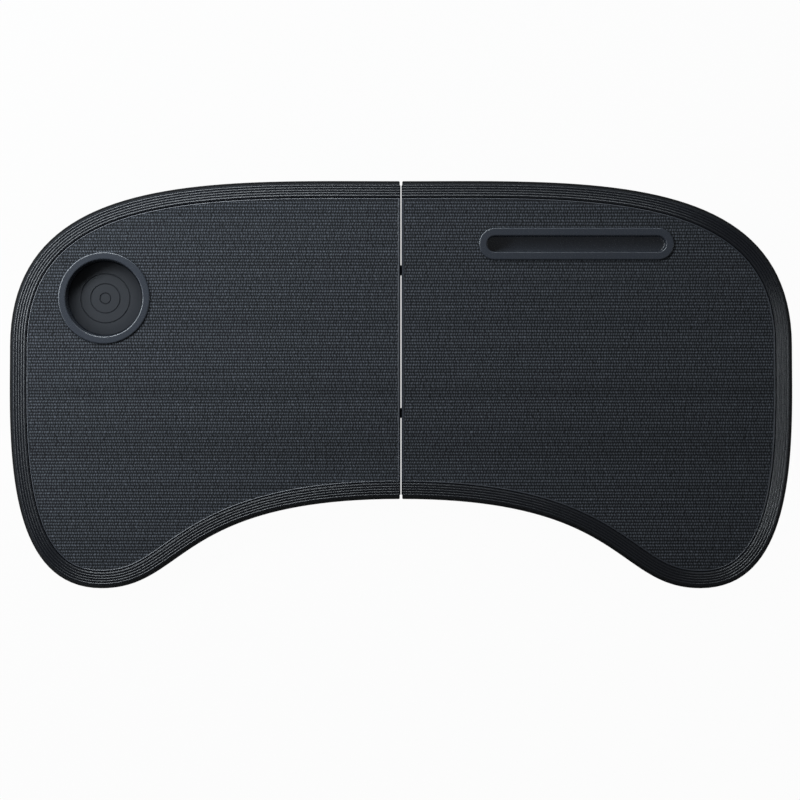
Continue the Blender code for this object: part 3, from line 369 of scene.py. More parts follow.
def spun(profile, sides, ring=False):
    """A profile of (radius, height) spun about the vertical axis. A ring's closes on itself."""
    bm = bmesh.new()
    corners = [bm.verts.new((radius, 0, height)) for radius, height in profile]
    edges = [bm.edges.new(pair) for pair in zip(corners, corners[1:])]
    if ring:
        edges.append(bm.edges.new((corners[-1], corners[0])))
    bmesh.ops.spin(
        bm, geom=corners + edges, cent=(0, 0, 0), axis=(0, 0, 1), angle=2 * pi, steps=sides,
        use_merge=True,
    )
    return bm


def turned(profile, sides, centre=(0, 0), ring=False):
    """A closed turned shape, upright on its centre."""
    bm = spun(profile, sides, ring)
    bmesh.ops.translate(bm, vec=(*centre, 0), verts=bm.verts)
    return closed_up(bm)


def lofted(rings):
    """A closed shape through rings of points, bridged one to the next."""
    bm = bmesh.new()
    loops = []
    for ring in rings:
        corners = [bm.verts.new(point) for point in ring]
        loops.append([bm.edges.new((corners[i - 1], corners[i])) for i in range(len(corners))])
    for loop, after in zip(loops, loops[1:]):
        bmesh.ops.bridge_loops(bm, edges=loop + after)
    return closed_up(bm)


def block(low, high):
    """A box between two corners."""
    bm = bmesh.new()
    bmesh.ops.create_cube(bm, size=1)
    low, high = Vector(low), Vector(high)
    bmesh.ops.scale(bm, vec=high - low, verts=bm.verts)
    bmesh.ops.translate(bm, vec=(low + high) / 2, verts=bm.verts)
    return bm


def post(radius, low, high, centre=(0, 0)):
    """An upright cylinder."""
    return turned([(0, low), (radius, low), (radius, high), (0, high)], SMALL_SIDES, centre)


def laid(bm, place):
    """A shape spun about Z, laid down along Y and moved to its place."""
    bmesh.ops.rotate(bm, matrix=Matrix.Rotation(-pi / 2, 3, "X"), verts=bm.verts)
    bmesh.ops.translate(bm, vec=place, verts=bm.verts)
    return bm


def rod(radius, place, half):
    """A cylinder along Y, centred on its place."""
    return laid(post(radius, -half, half), place)


def together(shapes):
    """Several shapes in one bmesh."""
    whole = bmesh.new()
    for shape in shapes:
        mesh = bpy.data.meshes.new("shape")
        shape.to_mesh(mesh)
        shape.free()
        whole.from_mesh(mesh)
        bpy.data.meshes.remove(mesh)
    return whole


def mirrored(bm, side):
    """The shape as it is for the right side, or mirrored for the left."""
    if side < 0:
        bmesh.ops.scale(bm, vec=(-1, 1, 1), verts=bm.verts)
        bmesh.ops.reverse_faces(bm, faces=bm.faces)
    return bm


def softened(bm, width, segments=2):
    """The shape with its sharp edges rounded."""
    sharp = [
        edge for edge in bm.edges
        if len(edge.link_faces) == 2 and edge.calc_face_angle() > radians(SHARP)
    ]
    bmesh.ops.bevel(
        bm, geom=sharp, offset=width, offset_type="OFFSET", segments=segments, profile=0.5,
        affect="EDGES", clamp_overlap=True, material=-1,
    )
    return bm


def in_scene(name, data):
    """A new object with its mesh, lamp or camera, in the scene."""
    thing = bpy.data.objects.new(name, data)
    bpy.context.scene.collection.objects.link(thing)
    return thing


def object_of(bm, name="tool"):
    """A new object of the shape, which is used up."""
    mesh = bpy.data.meshes.new(name)
    bm.to_mesh(mesh)
    bm.free()
    return in_scene(name, mesh)


def combined(bm, *steps):
    """The shape after a chain of Booleans, each an operation and the shape it uses."""
    target = object_of(bm)
    tools = []
    for operation, shape in steps:
        tool = object_of(shape)
        modifier = target.modifiers.new("Shape", "BOOLEAN")
        modifier.operation = operation
        modifier.solver = "EXACT"
        modifier.object = tool
        tools.append(tool)
    graph = bpy.context.evaluated_depsgraph_get()
    result = bmesh.new()
    result.from_mesh(target.evaluated_get(graph).to_mesh())
    target.evaluated_get(graph).to_mesh_clear()
    for thing in (target, *tools):
        bpy.data.objects.remove(thing, do_unlink=True)
    bmesh.ops.remove_doubles(result, verts=result.verts, dist=MERGE)
    return result


def node_copy(node):
    """A merged copy of a CAD node's mesh, with its flat faces whole again."""
    bm = bmesh.new()
    bm.from_mesh(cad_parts[node].data)
    bmesh.ops.remove_doubles(bm, verts=bm.verts, dist=MERGE)
    bmesh.ops.dissolve_limit(bm, angle_limit=radians(FLAT), verts=bm.verts, edges=bm.edges)
    return bm


def add_piece(bm, name, body, slot, nodes, smooth=35):
    """Makes a piece of the shape, in its finish, riding on its body in place of CAD nodes."""
    piece = object_of(bm, name)
    piece.data.materials.append(FINISHES[slot])
    piece.data.shade_smooth()
    piece.data.set_sharp_from_angle(angle=radians(smooth))
    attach(piece, body)
    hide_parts(*nodes)


def add_rounded_node(node, name, body, slot, width=FITTING_ROUND, segments=2):
    """Makes a piece of a CAD node's own shape, with its sharp edges rounded."""
    add_piece(softened(node_copy(node), width, segments), name, body, slot, [node])


# Finishes

NOISE_SPAN = (0.3, 0.7)


def add(tree, kind, inputs=(), **settings):
    """A node with its settings, and its inputs given values or linked to other nodes' outputs."""
    made = tree.nodes.new(kind)
    for key, value in settings.items():
        setattr(made, key, value)
    for socket, value in dict(inputs).items():
        if isinstance(value, bpy.types.NodeSocket):
            tree.links.new(value, made.inputs[socket])
        else:
            made.inputs[socket].default_value = value
    return made


def value_of(tree, operation, *values):
    """The result of a Math node."""
    return add(tree, "ShaderNodeMath", dict(enumerate(values)), operation=operation).outputs[0]


def ranged(tree, value, low, high, span=NOISE_SPAN):
    """A value brought from its span to a range, and kept within it."""
    sizes = {"Value": value, 1: span[0], 2: span[1], 3: low, 4: high}
    return add(tree, "ShaderNodeMapRange", sizes).outputs[0]


def wave(tree, turns):
    """A wave from 0 at each whole number to 1 halfway between."""
    cosine = value_of(tree, "COSINE", value_of(tree, "MULTIPLY", turns, 2 * pi))
    return value_of(tree, "MULTIPLY_ADD", cosine, -0.5, 0.5)


def noise(tree, place, scale, detail=3, roughness=0.5):
    """Noise of so many clumps a unit, which mostly keeps within its span."""
    inputs = {"Vector": place, "Scale": scale, "Detail": detail, "Roughness": roughness}
    return add(tree, "ShaderNodeTexNoise", inputs).outputs["Fac"]


def blended(tree, share, first, second):
    """A colour between two colours."""
    made = add(tree, "ShaderNodeMix", {0: share, 6: first, 7: second}, data_type="RGBA")
    return made.outputs[2]


def surface(name, roughness, metallic=0, specular=0.5):
    """A material, its node tree, its shader and the piece's own coordinates."""
    material = bpy.data.materials.new(name)
    material.use_nodes = True
    tree = material.node_tree
    shader = tree.nodes["Principled BSDF"]
    shader.inputs["Roughness"].default_value = roughness
    shader.inputs["Metallic"].default_value = metallic
    shader.inputs["Specular IOR Level"].default_value = specular
    place = add(tree, "ShaderNodeTexCoord").outputs["Object"]
    return material, tree, shader, place


def bumped(tree, shader, height, depth, strength=1.0):
    """Gives the shader a bump of a height from 0 to 1, that many metres deep."""
    inputs = {"Strength": strength, "Distance": depth, "Height": height}
    tree.links.new(add(tree, "ShaderNodeBump", inputs).outputs[0], shader.inputs["Normal"])


CLOUD_SCALE = 9
CLOUD_SHARE = 0.6
# Painted shade on a finish's lower side: its near-black colour, the shine left there, and the
# height over which both fade
PAINTED_SIDE_SHADE = (0.0012, 0.0014, 0.0018, 1)
DEEP_SHINE = 0.2
DEEP_FADE = 0.5 * MM


def moulded(
    name, dark, light, roughness, grain, depth, metallic=0, specular=0.5, spread=0.06, deep=None,
):
    """A moulded or coated finish: slow changes of shade, and a fine grain in the surface.

    With a height, the colour is darkened to almost black just under it as painted shade, and the
    shine fades to almost none there too.
    """
    material, tree, shader, place = surface(name, roughness, metallic, specular)
    cloud = noise(tree, place, CLOUD_SCALE, 4)
    speck = noise(tree, place, grain, 2, 0.6)
    slow, fine = ranged(tree, cloud, 0, CLOUD_SHARE), ranged(tree, speck, 0, 1 - CLOUD_SHARE)
    share = value_of(tree, "ADD", slow, fine)
    colour = blended(tree, share, (*dark, 1), (*light, 1))
    # Painted shade: under the given height the colour goes to near black and the shine drops
    if deep:
        up = add(tree, "ShaderNodeSeparateXYZ", {0: place}).outputs["Z"]
        above = ranged(tree, up, 0, 1, (deep - DEEP_FADE, deep))
        colour = blended(tree, above, PAINTED_SIDE_SHADE, colour)
        shine = value_of(tree, "MULTIPLY_ADD", above, specular - DEEP_SHINE, DEEP_SHINE)
        tree.links.new(shine, shader.inputs["Specular IOR Level"])
    tree.links.new(colour, shader.inputs["Base Color"])
    rough = ranged(tree, speck, roughness - spread, roughness + spread)
    tree.links.new(rough, shader.inputs["Roughness"])
    bumped(tree, shader, speck, depth)
    return material


MARK_STRETCH = (1, 0.06, 1)
MARK_SCALE = 2600
MARK_SHARE = 0.6
MARK_DEPTH = 0.02 * MM
WORN_SCALE = 60
ROUGHER, SMOOTHER = 0.1, 0.08


def drawn_metal(name, dark, light, roughness):
    """Bare metal with fine marks along its length."""
    material, tree, shader, place = surface(name, roughness, metallic=1)
    stretched = add(tree, "ShaderNodeMapping", {"Vector": place, "Scale": MARK_STRETCH}).outputs[0]
    marks = noise(tree, stretched, MARK_SCALE, 3, 0.6)
    slow = value_of(tree, "MULTIPLY", noise(tree, place, WORN_SCALE), 1 - MARK_SHARE)
    share = value_of(tree, "MULTIPLY_ADD", marks, MARK_SHARE, slow)
    tree.links.new(blended(tree, share, (*dark, 1), (*light, 1)), shader.inputs["Base Color"])
    rough = ranged(tree, share, roughness - SMOOTHER, roughness + ROUGHER)
    tree.links.new(rough, shader.inputs["Roughness"])
    bumped(tree, shader, marks, MARK_DEPTH)
    return material


def woven_finish(name):
    """Rows of knitted stitches with painted shade in their hollows, uneven in tone from row to row
    and along each row.

    The stitches lean one way in one row and the other way in the next, and drift along it.
    """
    material, tree, shader, place = surface(name, KNIT_ROUGH, specular=KNIT_SPECULAR)
    parts = add(tree, "ShaderNodeSeparateXYZ", {0: place}).outputs
    rows = value_of(tree, "MULTIPLY", parts["Y"], 1 / ROW_PITCH)
    row = value_of(tree, "FLOOR", rows)
    across = value_of(tree, "FRACT", rows)
    draw = add(tree, "ShaderNodeTexWhiteNoise", {"W": row}, noise_dimensions="1D")
    row_tone = draw.outputs["Value"]
    along = value_of(tree, "MULTIPLY", parts["X"], 1 / STITCH)
    apart = value_of(tree, "MULTIPLY", row, ROW_DRAWS_APART)
    row_place = add(tree, "ShaderNodeCombineXYZ", {0: along, 1: apart}).outputs[0]
    drift = noise(tree, row_place, DRIFT_SCALE, 1)
    start = value_of(tree, "MULTIPLY_ADD", drift, STITCH_DRIFT, row_tone)
    odd = value_of(tree, "PINGPONG", row, 1.0)
    leaning = value_of(tree, "MULTIPLY_ADD", odd, 2 * STITCH_LEAN, -STITCH_LEAN)
    slant = value_of(tree, "MULTIPLY_ADD", across, leaning, start)
    thread = wave(tree, across)
    loop = wave(tree, value_of(tree, "ADD", along, slant))
    stitch = value_of(tree, "MULTIPLY_ADD", loop, STITCH_DEPTH, 1 - STITCH_DEPTH)
    raised = value_of(tree, "MULTIPLY", value_of(tree, "POWER", thread, THREAD_THIN), stitch)
    sunk = value_of(tree, "MULTIPLY", value_of(tree, "SUBTRACT", 1.0, thread), loop)
    height = value_of(tree, "MULTIPLY_ADD", sunk, LOOP_BETWEEN, raised)
    patch = ranged(tree, noise(tree, row_place, PATCH_SCALE, 1), *PATCH_RANGE)
    tone = value_of(tree, "MULTIPLY_ADD", patch, PATCH_TONE, LEAST_TONE)
    tone = value_of(tree, "MULTIPLY_ADD", row_tone, ROW_TONE, tone)
    fibre = noise(tree, place, FIBRE_SCALE, 2, 0.7)
    tone = value_of(tree, "MULTIPLY", tone, ranged(tree, fibre, *FIBRE_RANGE))
    # Painted shade: the colour follows the stitches' height, near black in the hollows, times the
    # random tone
    painted_shade_and_tone = value_of(tree, "MULTIPLY", height, tone)
    colour = blended(tree, painted_shade_and_tone, KNIT_PAINTED_SHADE, KNIT_LIGHT)
    tree.links.new(colour, shader.inputs["Base Color"])
    surface_height = value_of(tree, "MULTIPLY_ADD", fibre, FIBRE_HEIGHT, height)
    bumped(tree, shader, surface_height, KNIT_DEPTH, KNIT_BUMP)
    for socket, value in zip(("Sheen Weight", "Sheen Roughness"), KNIT_SHEEN):
        shader.inputs[socket].default_value = value
    return material


# Moulded finishes are given a dark and a light colour, a roughness, a grain and its depth
FINISHES = {
    "woven_mat": woven_finish("woven_mat_look"),
    # The band's outer side, under 26.9 mm, is darkened with painted shade
    "edge_rubber": moulded(
        "edge_rubber_look", (0.0062, 0.0074, 0.0105), (0.0088, 0.0104, 0.0145), 0.28, 1500,
        0.0005 * MM, specular=0.9, spread=0.02, deep=26.9 * MM,
    ),
    "shell_plastic": moulded(
        "shell_plastic_look", (0.036, 0.04, 0.05), (0.047, 0.052, 0.064), 0.3, 1100, 0.001 * MM,
        specular=0.8, spread=0.03,
    ),
    "insert_plastic": moulded(
        "insert_plastic_look", (0.0305, 0.0355, 0.0462), (0.0376, 0.0436, 0.056), 0.26, 1300,
        0.001 * MM, specular=1, spread=0.02,
    ),
    "cup_silicone": moulded(
        "cup_silicone_look", (0.0104, 0.0122, 0.0165), (0.0135, 0.0157, 0.0212), 0.6, 900, 0.04 * MM
    ),
    "fitting_plastic": moulded(
        "fitting_plastic_look", (0.014, 0.014, 0.016), (0.022, 0.022, 0.025), 0.48, 1000, 0.04 * MM
    ),
    "button_plastic": moulded(
        "button_plastic_look", (0.22, 0.23, 0.25), (0.28, 0.29, 0.31), 0.42, 1200, 0.03 * MM
    ),
    "foot_rubber": moulded(
        "foot_rubber_look", (0.012, 0.012, 0.013), (0.021, 0.021, 0.022), 0.78, 800, 0.06 * MM
    ),
    "leg_steel": moulded(
        "leg_steel_look", (0.022, 0.022, 0.025), (0.034, 0.034, 0.037), 0.38, 1700, 0.05 * MM,
        metallic=0.55,
    ),
    "pin_steel": drawn_metal("pin_steel_look", (0.44, 0.44, 0.46), (0.62, 0.62, 0.64), 0.3),
    "magnet_nickel": drawn_metal("magnet_nickel_look", (0.56, 0.55, 0.52), (0.7, 0.69, 0.66), 0.22),
}


# Free edge


def stop_at(x, y, turn, z=0.0):
    """Places a section plane at a point, across a way of travel."""
    return Matrix.Translation((x, y, z)) @ Matrix.Rotation(turn - pi / 2, 4, "Z")


def free_edge():
    """Section planes round the right leaf's free edge, from the back of the fold to its front."""
    places = []
    for curve, steps in zip(EDGE_CURVES, EDGE_STEPS):
        points = [Vector(point) * MM for point in curve]
        places += interpolate_bezier(*points, steps + 1)[:-1]
    places.append(Vector(EDGE_CURVES[-1][-1]) * MM)
    stops = [stop_at(*places[0], 0)]
    for before, place, after in zip(places, places[1:], places[2:]):
        way = after - before
        stops.append(stop_at(*place, atan2(way.y, way.x)))
    return stops + [stop_at(*places[-1], pi)]


EDGE = free_edge()


def corner_stops(start, towards):
    """Planes at one end of the free edge, drawn in so that the band's corner is round."""
    way = (towards.translation - start.translation).normalized()
    made = []
    for i in range(CORNER_STEPS):
        angle = pi / 2 * i / CORNER_STEPS
        gone, drawn = EDGE_CORNER * (1 - cos(angle)), EDGE_CORNER * (1 - sin(angle))
        squeeze = Matrix.Diagonal((1 - drawn / BAND_WIDTH, 1, 1, 1))
        placing = Matrix.Translation(way * gone) @ start
        made.append(placing @ Matrix.Translation((drawn, 0, 0)) @ squeeze)
    return made


def leaf_ring(inset, z, fold_x):
    """One level of a leaf: its free edge moved inwards by inset, and the fold line at fold_x."""
    points = [stop @ Vector((inset, 0, z)) for stop in EDGE]
    first = points[0].lerp(points[1], (fold_x - FOLD_X) / (points[1].x - FOLD_X))
    last = points[-1].lerp(points[-2], (fold_x - FOLD_X) / (points[-2].x - FOLD_X))
    return [first, *points[1:-1], last]


def leaf_volume(levels):
    """A leaf-shaped volume through levels of (inset, height, fold_x)."""
    return lofted([leaf_ring(*level) for level in levels])


def column(outline, low=BELOW, high=ABOVE):
    """An upright column with this outline, right through a leaf unless given heights."""
    return lofted([[(x, y, z) for x, y in outline] for z in (low, high)])


# Band, shell and mat


def crown(inset):
    """Height of the band's valleys, which fall in a curve towards the outer edge."""
    return BAND_TOP - BAND_FALL * (1 - inset / BAND_WIDTH) ** 2


def band_section():
    """The band in section: up its outer side, over its ridges, and back underneath."""
    section = [(BAND_FOOT_BREAK, BAND_FOOT_Z), (0, BAND_FOOT_Z + BAND_FOOT_BREAK)]
    tall = crown(0) - BAND_FOOT_Z
    section += [(-BAND_BULGE * out, BAND_FOOT_Z + up * tall) for out, up in BAND_SWELL]
    pitch = (BAND_WIDTH - BAND_LAND - RIDGES_IN) / RIDGES
    for i in range(RIDGES):
        valley = RIDGES_IN + i * pitch
        section.append((valley, crown(valley)))
        for share, height in RIDGE_SHAPE:
            inset = valley + share * pitch
            section.append((inset, crown(inset) + height * RIDGE_HEIGHT))
    section += [(BAND_WIDTH - BAND_LAND, crown(BAND_WIDTH)), (BAND_WIDTH, crown(BAND_WIDTH))]
    for inset in (LIP_IN, SHOULDER_IN, SKIRT_IN):
        section.append((inset - CLEAR, crown(inset) - BAND_THICK))
    return section + [(BAND_SIDE, BAND_FOOT_Z)]


def edge_band(hand, side):
    """The ridged band round a leaf's free edge, with its two ends rounded at the fold."""
    inwards = Matrix.Translation((EDGE_CORNER, 0, 0))
    stops = [
        *corner_stops(EDGE[0], EDGE[1]), inwards @ EDGE[0], *EDGE[1:-1], inwards @ EDGE[-1],
        *reversed(corner_stops(EDGE[-1], EDGE[-2])),
    ]
    band = mirrored(swept(band_section(), stops), side)
    node = f"{hand}_edge_band"
    add_piece(band, f"{hand}_ridged_band", f"{hand}_leaf", "edge_rubber", [node], 50)


def shoulder(depth):
    """The shell's shoulder as (inset, height), this far under its outer face."""
    return [
        (inset + depth, crown(inset + depth) - BAND_THICK - CLEAR - depth)
        for inset in (SKIRT_IN, SHOULDER_IN)
    ]


def shell_outside():
    """The pan's outer face, from its rim over the shoulder to its rounded lip."""
    levels = [
        (SKIRT_IN + EDGE_BREAK, RIM_Z, FOLD_X + EDGE_BREAK),
        (SKIRT_IN, RIM_Z + EDGE_BREAK, FOLD_X),
        (SKIRT_IN, LEAN_LOW, FOLD_X),
        (SKIRT_IN, LEAN_HIGH, FOLD_NEAR),
        *[(inset, z, (FOLD_NEAR + FOLD_X) / 2) for inset, z in shoulder(0)],
        (LIP_IN, crown(LIP_IN) - BAND_THICK - CLEAR, FOLD_X),
    ]
    for inset, below, fold in LIP_ROUND:
        levels.append((LIP_IN + inset * MM, LIP_TOP - below * MM, FOLD_X + fold * MM))
    return leaf_volume(levels)


def shell_inside(depth, low, high, fold_x):
    """The hollow of the pan at a depth under the outer face, from low to high."""
    ledge = crown(LIP_IN) - BAND_THICK - CLEAR - depth
    levels = [(SKIRT_IN + depth, low, fold_x)]
    levels += [(inset, z, fold_x) for inset, z in shoulder(depth)]
    levels += [(LIP_IN + depth, ledge, fold_x), (LIP_IN + depth, high, fold_x)]
    return leaf_volume(levels)


def mat_recess():
    """The recess in the top that the mat lies in, its lip rounded at the top."""
    inset, fold_x = LIP_IN + LIP, FOLD_X + FOLD_LIP
    levels = [(inset, DECK_TOP, fold_x)]
    for out, below, _ in LIP_ROUND:
        levels.append((inset - out * MM, LIP_TOP - below * MM, fold_x - out * MM))
    mouth, _, mouth_x = levels[-1]
    return leaf_volume([*levels, (mouth, ABOVE, mouth_x)])


def middle(low, high):
    """The middle of a box, seen from above."""
    return (low.x + high.x) / 2, (low.y + high.y) / 2


def magnet_place():
    """Where the right leaf's magnet is."""
    return middle(*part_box("right_magnet"))


def pad_places():
    """The right leaf's foot pads, and where they stand."""
    return [(name, middle(*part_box(f"right_{name}_pad"))) for name in PAD_NAMES]


def screw_places():
    """The right leaf's screws and where they go: one in the clip, two in each leg bracket."""
    places = [("clip_screw", (CLIP_X, FRONT_ARM_Y))]
    for place, y in (("rear", REAR_ARM_Y), ("front", FRONT_ARM_Y)):
        places.append((f"{place}_bracket_screw_1", (SCREW_X, y + SCREW_Y)))
        places.append((f"{place}_bracket_screw_2", (SCREW_X, y - SCREW_Y)))
    return places


def rib_free(outline):
    """The spaces under the deck that ribs stay out of: the leg's fittings and this outline."""
    low, high = RIB_Z - RIB, DECK_UNDER
    foot, bracket = SLEEVE_R + CLEAR, BRACKET_HALF + CLEAR
    start = LEG_X - BRACKET_LEFT - CLEAR
    clip, clip_half = CLIP_HALF
    areas = (
        (FOOT_X - foot, FOOT_X + foot, LEG_Y, LEG_HALF_SPAN + foot),
        (start, LEG_X + BRACKET_REAR + CLEAR, REAR_ARM_Y, bracket),
        (start, LEG_X + LOCK_REAR + CLEAR, FRONT_ARM_Y, bracket),
        (CLIP_X - clip, CLIP_X + clip, FRONT_ARM_Y, clip_half),
    )
    spaces = [
        block((left, y - half, low), (right, y + half, high)) for left, right, y, half in areas
    ]
    return [*spaces, column(outline, low, high)]


def ribs(rib_limit):
    """Two crossing rows of ribs under the deck."""
    half = RIB / 2
    reach_x, reach_y = RIB_REACH
    along, across = [], []
    for i in range(RIBS_ALONG):
        x = (i + 1) * RIB_PITCH
        along.append(block((x - half, -reach_y, RIB_Z), (x + half, reach_y, DECK_TOP)))
    for i in range(RIBS_ACROSS):
        y = LEG_Y + (i - RIBS_ACROSS / 2) * RIB_PITCH
        across.append(block((0, y - half, RIB_Z), (reach_x, y + half, DECK_TOP)))
    cuts = [("DIFFERENCE", shape) for shape in rib_free(rib_limit)]
    return combined(together(along), ("UNION", together(across)), *cuts)


def shell_posts():
    """Pad posts, the magnet post and screw bosses under the right leaf's deck."""
    shapes = [post(PAD_POST_R, RIM_Z, DECK_TOP, place) for _, place in pad_places()]
    magnet = magnet_place()
    shapes.append(post(MAGNET_POST_R, MAGNET_LOW + CLEAR, DECK_TOP, magnet))
    low = DECK_UNDER - BOSS_DROP
    return together(shapes + [post(BOSS_R, low, DECK_TOP, place) for _, place in screw_places()])


def shell_holes():
    """The holes in the posts and bosses."""
    stem, screw = PAD_STEM_R + CLEAR, SCREW_R + CLEAR
    shapes = [post(stem, BELOW, DECK_UNDER - RIB, place) for _, place in pad_places()]
    magnet = magnet_place()
    shapes.append(post(MAGNET_R + CLEAR, BELOW, MAGNET_HIGH + CLEAR, magnet))
    high = SCREW_END + CLEAR
    return together(shapes + [post(screw, BELOW, high, place) for _, place in screw_places()])


def hinge_slots():
    """The openings in the fold wall and between the cheeks that the links turn in."""
    half, high = LINK_SLOT / 2, HINGE_Z + LINK_R + CHEEK_WALL
    return together([
        block((0, y - half, BELOW), (CHEEK_X + WALL, y + half, high)) for _, y in HINGE_YS
    ])


def hinge_bores():
    """The bores of the hinge pins."""
    radius, half = HINGE_PIN_R + CLEAR, LINK_SLOT / 2 + 2 * CHEEK
    return together([rod(radius, (HINGE_X, y, HINGE_Z), half) for _, y in HINGE_YS])


def hinge_cheeks():
    """The blocks that the hinge slots and bores are cut in."""
    half = LINK_SLOT / 2 + CHEEK
    high = HINGE_Z + LINK_R + 2 * CHEEK_WALL
    return together([block((0, y - half, RIM_Z), (CHEEK_X, y + half, high)) for _, y in HINGE_YS])


def shell(hand, side, opening, rib_limit):
    """The moulded pan with its lip, ribs, posts and hinge cheeks, open for the insert."""
    deck_middle = (DECK_UNDER + DECK_TOP) / 2
    fittings = combined(
        ribs(rib_limit),
        ("UNION", shell_posts()),
        ("UNION", hinge_cheeks()),
        ("INTERSECT", shell_inside(WALL / 2, BELOW, deck_middle, FOLD_X + FOLD_WALL / 2)),
    )
    pan = combined(
        shell_outside(),
        ("DIFFERENCE", shell_inside(WALL, BELOW, DECK_UNDER, FOLD_X + FOLD_WALL)),
        ("DIFFERENCE", mat_recess()),
        ("UNION", fittings),
        ("DIFFERENCE", column(opening)),
        ("DIFFERENCE", shell_holes()),
        ("DIFFERENCE", hinge_slots()),
        ("DIFFERENCE", hinge_bores()),
    )
    node = f"{hand}_shell"
    add_piece(mirrored(pan, side), f"{hand}_moulded_shell", f"{hand}_leaf", "shell_plastic", [node])


def mat(hand, side, opening):
    """The woven mat: rows of thread raised across it, cut to the leaf's shape."""
    section = []
    for i in range(-ROWS_EACH_WAY, ROWS_EACH_WAY + 1):
        for share in ROW_SHARES:
            height = MAT_TOP - ROW_RELIEF + ROW_RELIEF * sin(pi * share) ** ROW_FULLNESS
            section.append(((i + share) * ROW_PITCH, height))
    section += [(section[-1][0], MAT_UNDER), (section[0][0], MAT_UNDER)]
    turn = Matrix.Rotation(pi / 2, 4, "Z")
    rows = swept(section, [Matrix.Translation((x, 0, 0)) @ turn for x in (0, MAT_REACH)])
    limit = leaf_volume([(MAT_IN, z, MAT_FOLD_X) for z in (MAT_UNDER - MAT_CUT_UNDER, ABOVE)])
    woven = combined(rows, ("INTERSECT", limit), ("DIFFERENCE", column(opening)))
    node = f"{hand}_top_mat"
    add_piece(mirrored(woven, side), f"{hand}_woven_mat", f"{hand}_leaf", "woven_mat", [node], 75)


# Cup well and slot


def bezel(inner, outer):
    """The rounded top of an insert, from its outer underside to its mouth."""
    low = BEZEL_TOP - BEZEL_ROUND
    return [
        (outer, BEZEL_UNDER),
        *corner_arc((outer - BEZEL_ROUND, low), BEZEL_ROUND, 0, 90),
        (outer - BEZEL_ROUND - BEZEL_FLAT, BEZEL_TOP),
        (inner + BEZEL_ROUND + BEZEL_FLAT, BEZEL_TOP),
        *corner_arc((inner + BEZEL_ROUND, low), BEZEL_ROUND, 90, 180),
    ]


def cup_well():
    """The cup well: a raised flat rim, a slightly narrowing wall and a rounded foot."""
    foot = (CUP_FOOT_R - CUP_FOOT_IN, CUP_BOTTOM_Z + CUP_FOOT_ROUND)
    floor = (CUP_FOOT_R - CUP_FLOOR_ROUND, CUP_FLOOR_Z + CUP_FLOOR_ROUND)
    profile = [
        (0, CUP_BOTTOM_Z),
        *corner_arc(foot, CUP_FOOT_ROUND, 270, 350),
        (WELL_R, BEZEL_UNDER),
        *bezel(CUP_R, CUP_OUTER_R),
        *corner_arc(floor, CUP_FLOOR_ROUND, 0, -90),
        (0, CUP_FLOOR_Z),
    ]
    well = turned(profile, WIDE_SIDES, CUP)
    add_piece(well, "cup_well", "left_leaf", "insert_plastic", ["cup_insert"])


def cup_pad():
    """The soft pad on the floor of the well, with grooves round it."""
    low, edge = CUP_FLOOR_Z + CLEAR, CUP_FOOT_R - CUP_FLOOR_ROUND - CUP_PAD_GAP
    rim = (edge + CUP_PAD_OUT, CUP_PAD_TOP - CUP_PAD_ROUND)
    profile = [
        (0, low),
        *[(edge + out * MM, low + up * MM) for out, up in CUP_PAD_EDGE],
        *corner_arc(rim, CUP_PAD_ROUND, 0, 90, 3),
    ]
    groove_floor = CUP_PAD_TOP - GROOVE_DEPTH
    for radius in GROOVE_RADII:
        profile += [
            (radius + GROOVE_HALF, CUP_PAD_TOP),
            (radius + GROOVE_FLOOR_HALF, groove_floor),
            (radius - GROOVE_FLOOR_HALF, groove_floor),
            (radius - GROOVE_HALF, CUP_PAD_TOP),
        ]
    pad = turned([*profile, (0, CUP_PAD_TOP)], WIDE_SIDES, CUP)
    add_piece(pad, "grooved_cup_pad", "left_leaf", "cup_silicone", ["cup_pad"], 20)


def slot_stops():
    """Section planes round the slot, with the section's across running outwards."""
    stops = []
    for x, start in ((SLOT_HALF, -90), (-SLOT_HALF, 90)):
        place = Matrix.Translation((SLOT[0] + x, SLOT[1], 0))
        for i in range(SLOT_END_STEPS + 1):
            angle = radians(start + 180 * i / SLOT_END_STEPS)
            stops.append(place @ Matrix.Rotation(angle, 4, "Z"))
    return stops + stops[:1]


def slot_trough():
    """The long trough with its raised flat rim."""
    foot = (TROUGH_R - TROUGH_ROUND, SLOT_BOTTOM_Z + TROUGH_ROUND)
    floor = (SLOT_R - SLOT_FLOOR_ROUND, SLOT_FLOOR_Z + SLOT_FLOOR_ROUND)
    profile = [
        (TROUGH_R - TROUGH_FOOT_IN, SLOT_BOTTOM_Z),
        *corner_arc(foot, TROUGH_ROUND, 275, 360, 3),
        (TROUGH_R, BEZEL_UNDER),
        *bezel(SLOT_R, SLOT_OUTER_R),
        *corner_arc(floor, SLOT_FLOOR_ROUND, 0, -90),
    ]
    trough = swept(profile, slot_stops(), open_section=True)
    add_piece(trough, "slot_trough", "right_leaf", "insert_plastic", ["slot_insert"])


def ring_nut():
    """The notched ring nut that holds the cup well from under the deck."""
    inner = WELL_R + CLEAR
    outer, low, high = inner + RETAINER_BAND, RETAINER_TOP - RING_NUT, RETAINER_TOP
    ring = turned([(inner, low), (outer, low), (outer, high), (inner, high)], WIDE_SIDES, ring=True)
    half = NOTCH_WIDTH / 2
    notches = []
    for i in range(NOTCHES):
        start = (outer - RETAINER_BAND / 2, -half, low - RING_NUT)
        notch = block(start, (outer + half, half, low + NOTCH_DEPTH))
        turn = Matrix.Rotation((2 * i + 1) * pi / NOTCHES, 3, "Z")
        bmesh.ops.rotate(notch, matrix=turn, verts=notch.verts)
        notches.append(notch)
    nut = combined(ring, ("DIFFERENCE", together(notches)))
    bmesh.ops.translate(nut, vec=(*CUP, 0), verts=nut.verts)
    softened(nut, RING_NUT_BREAK)
    add_piece(nut, "notched_ring_nut", "left_leaf", "fitting_plastic", ["cup_retaining_ring"])


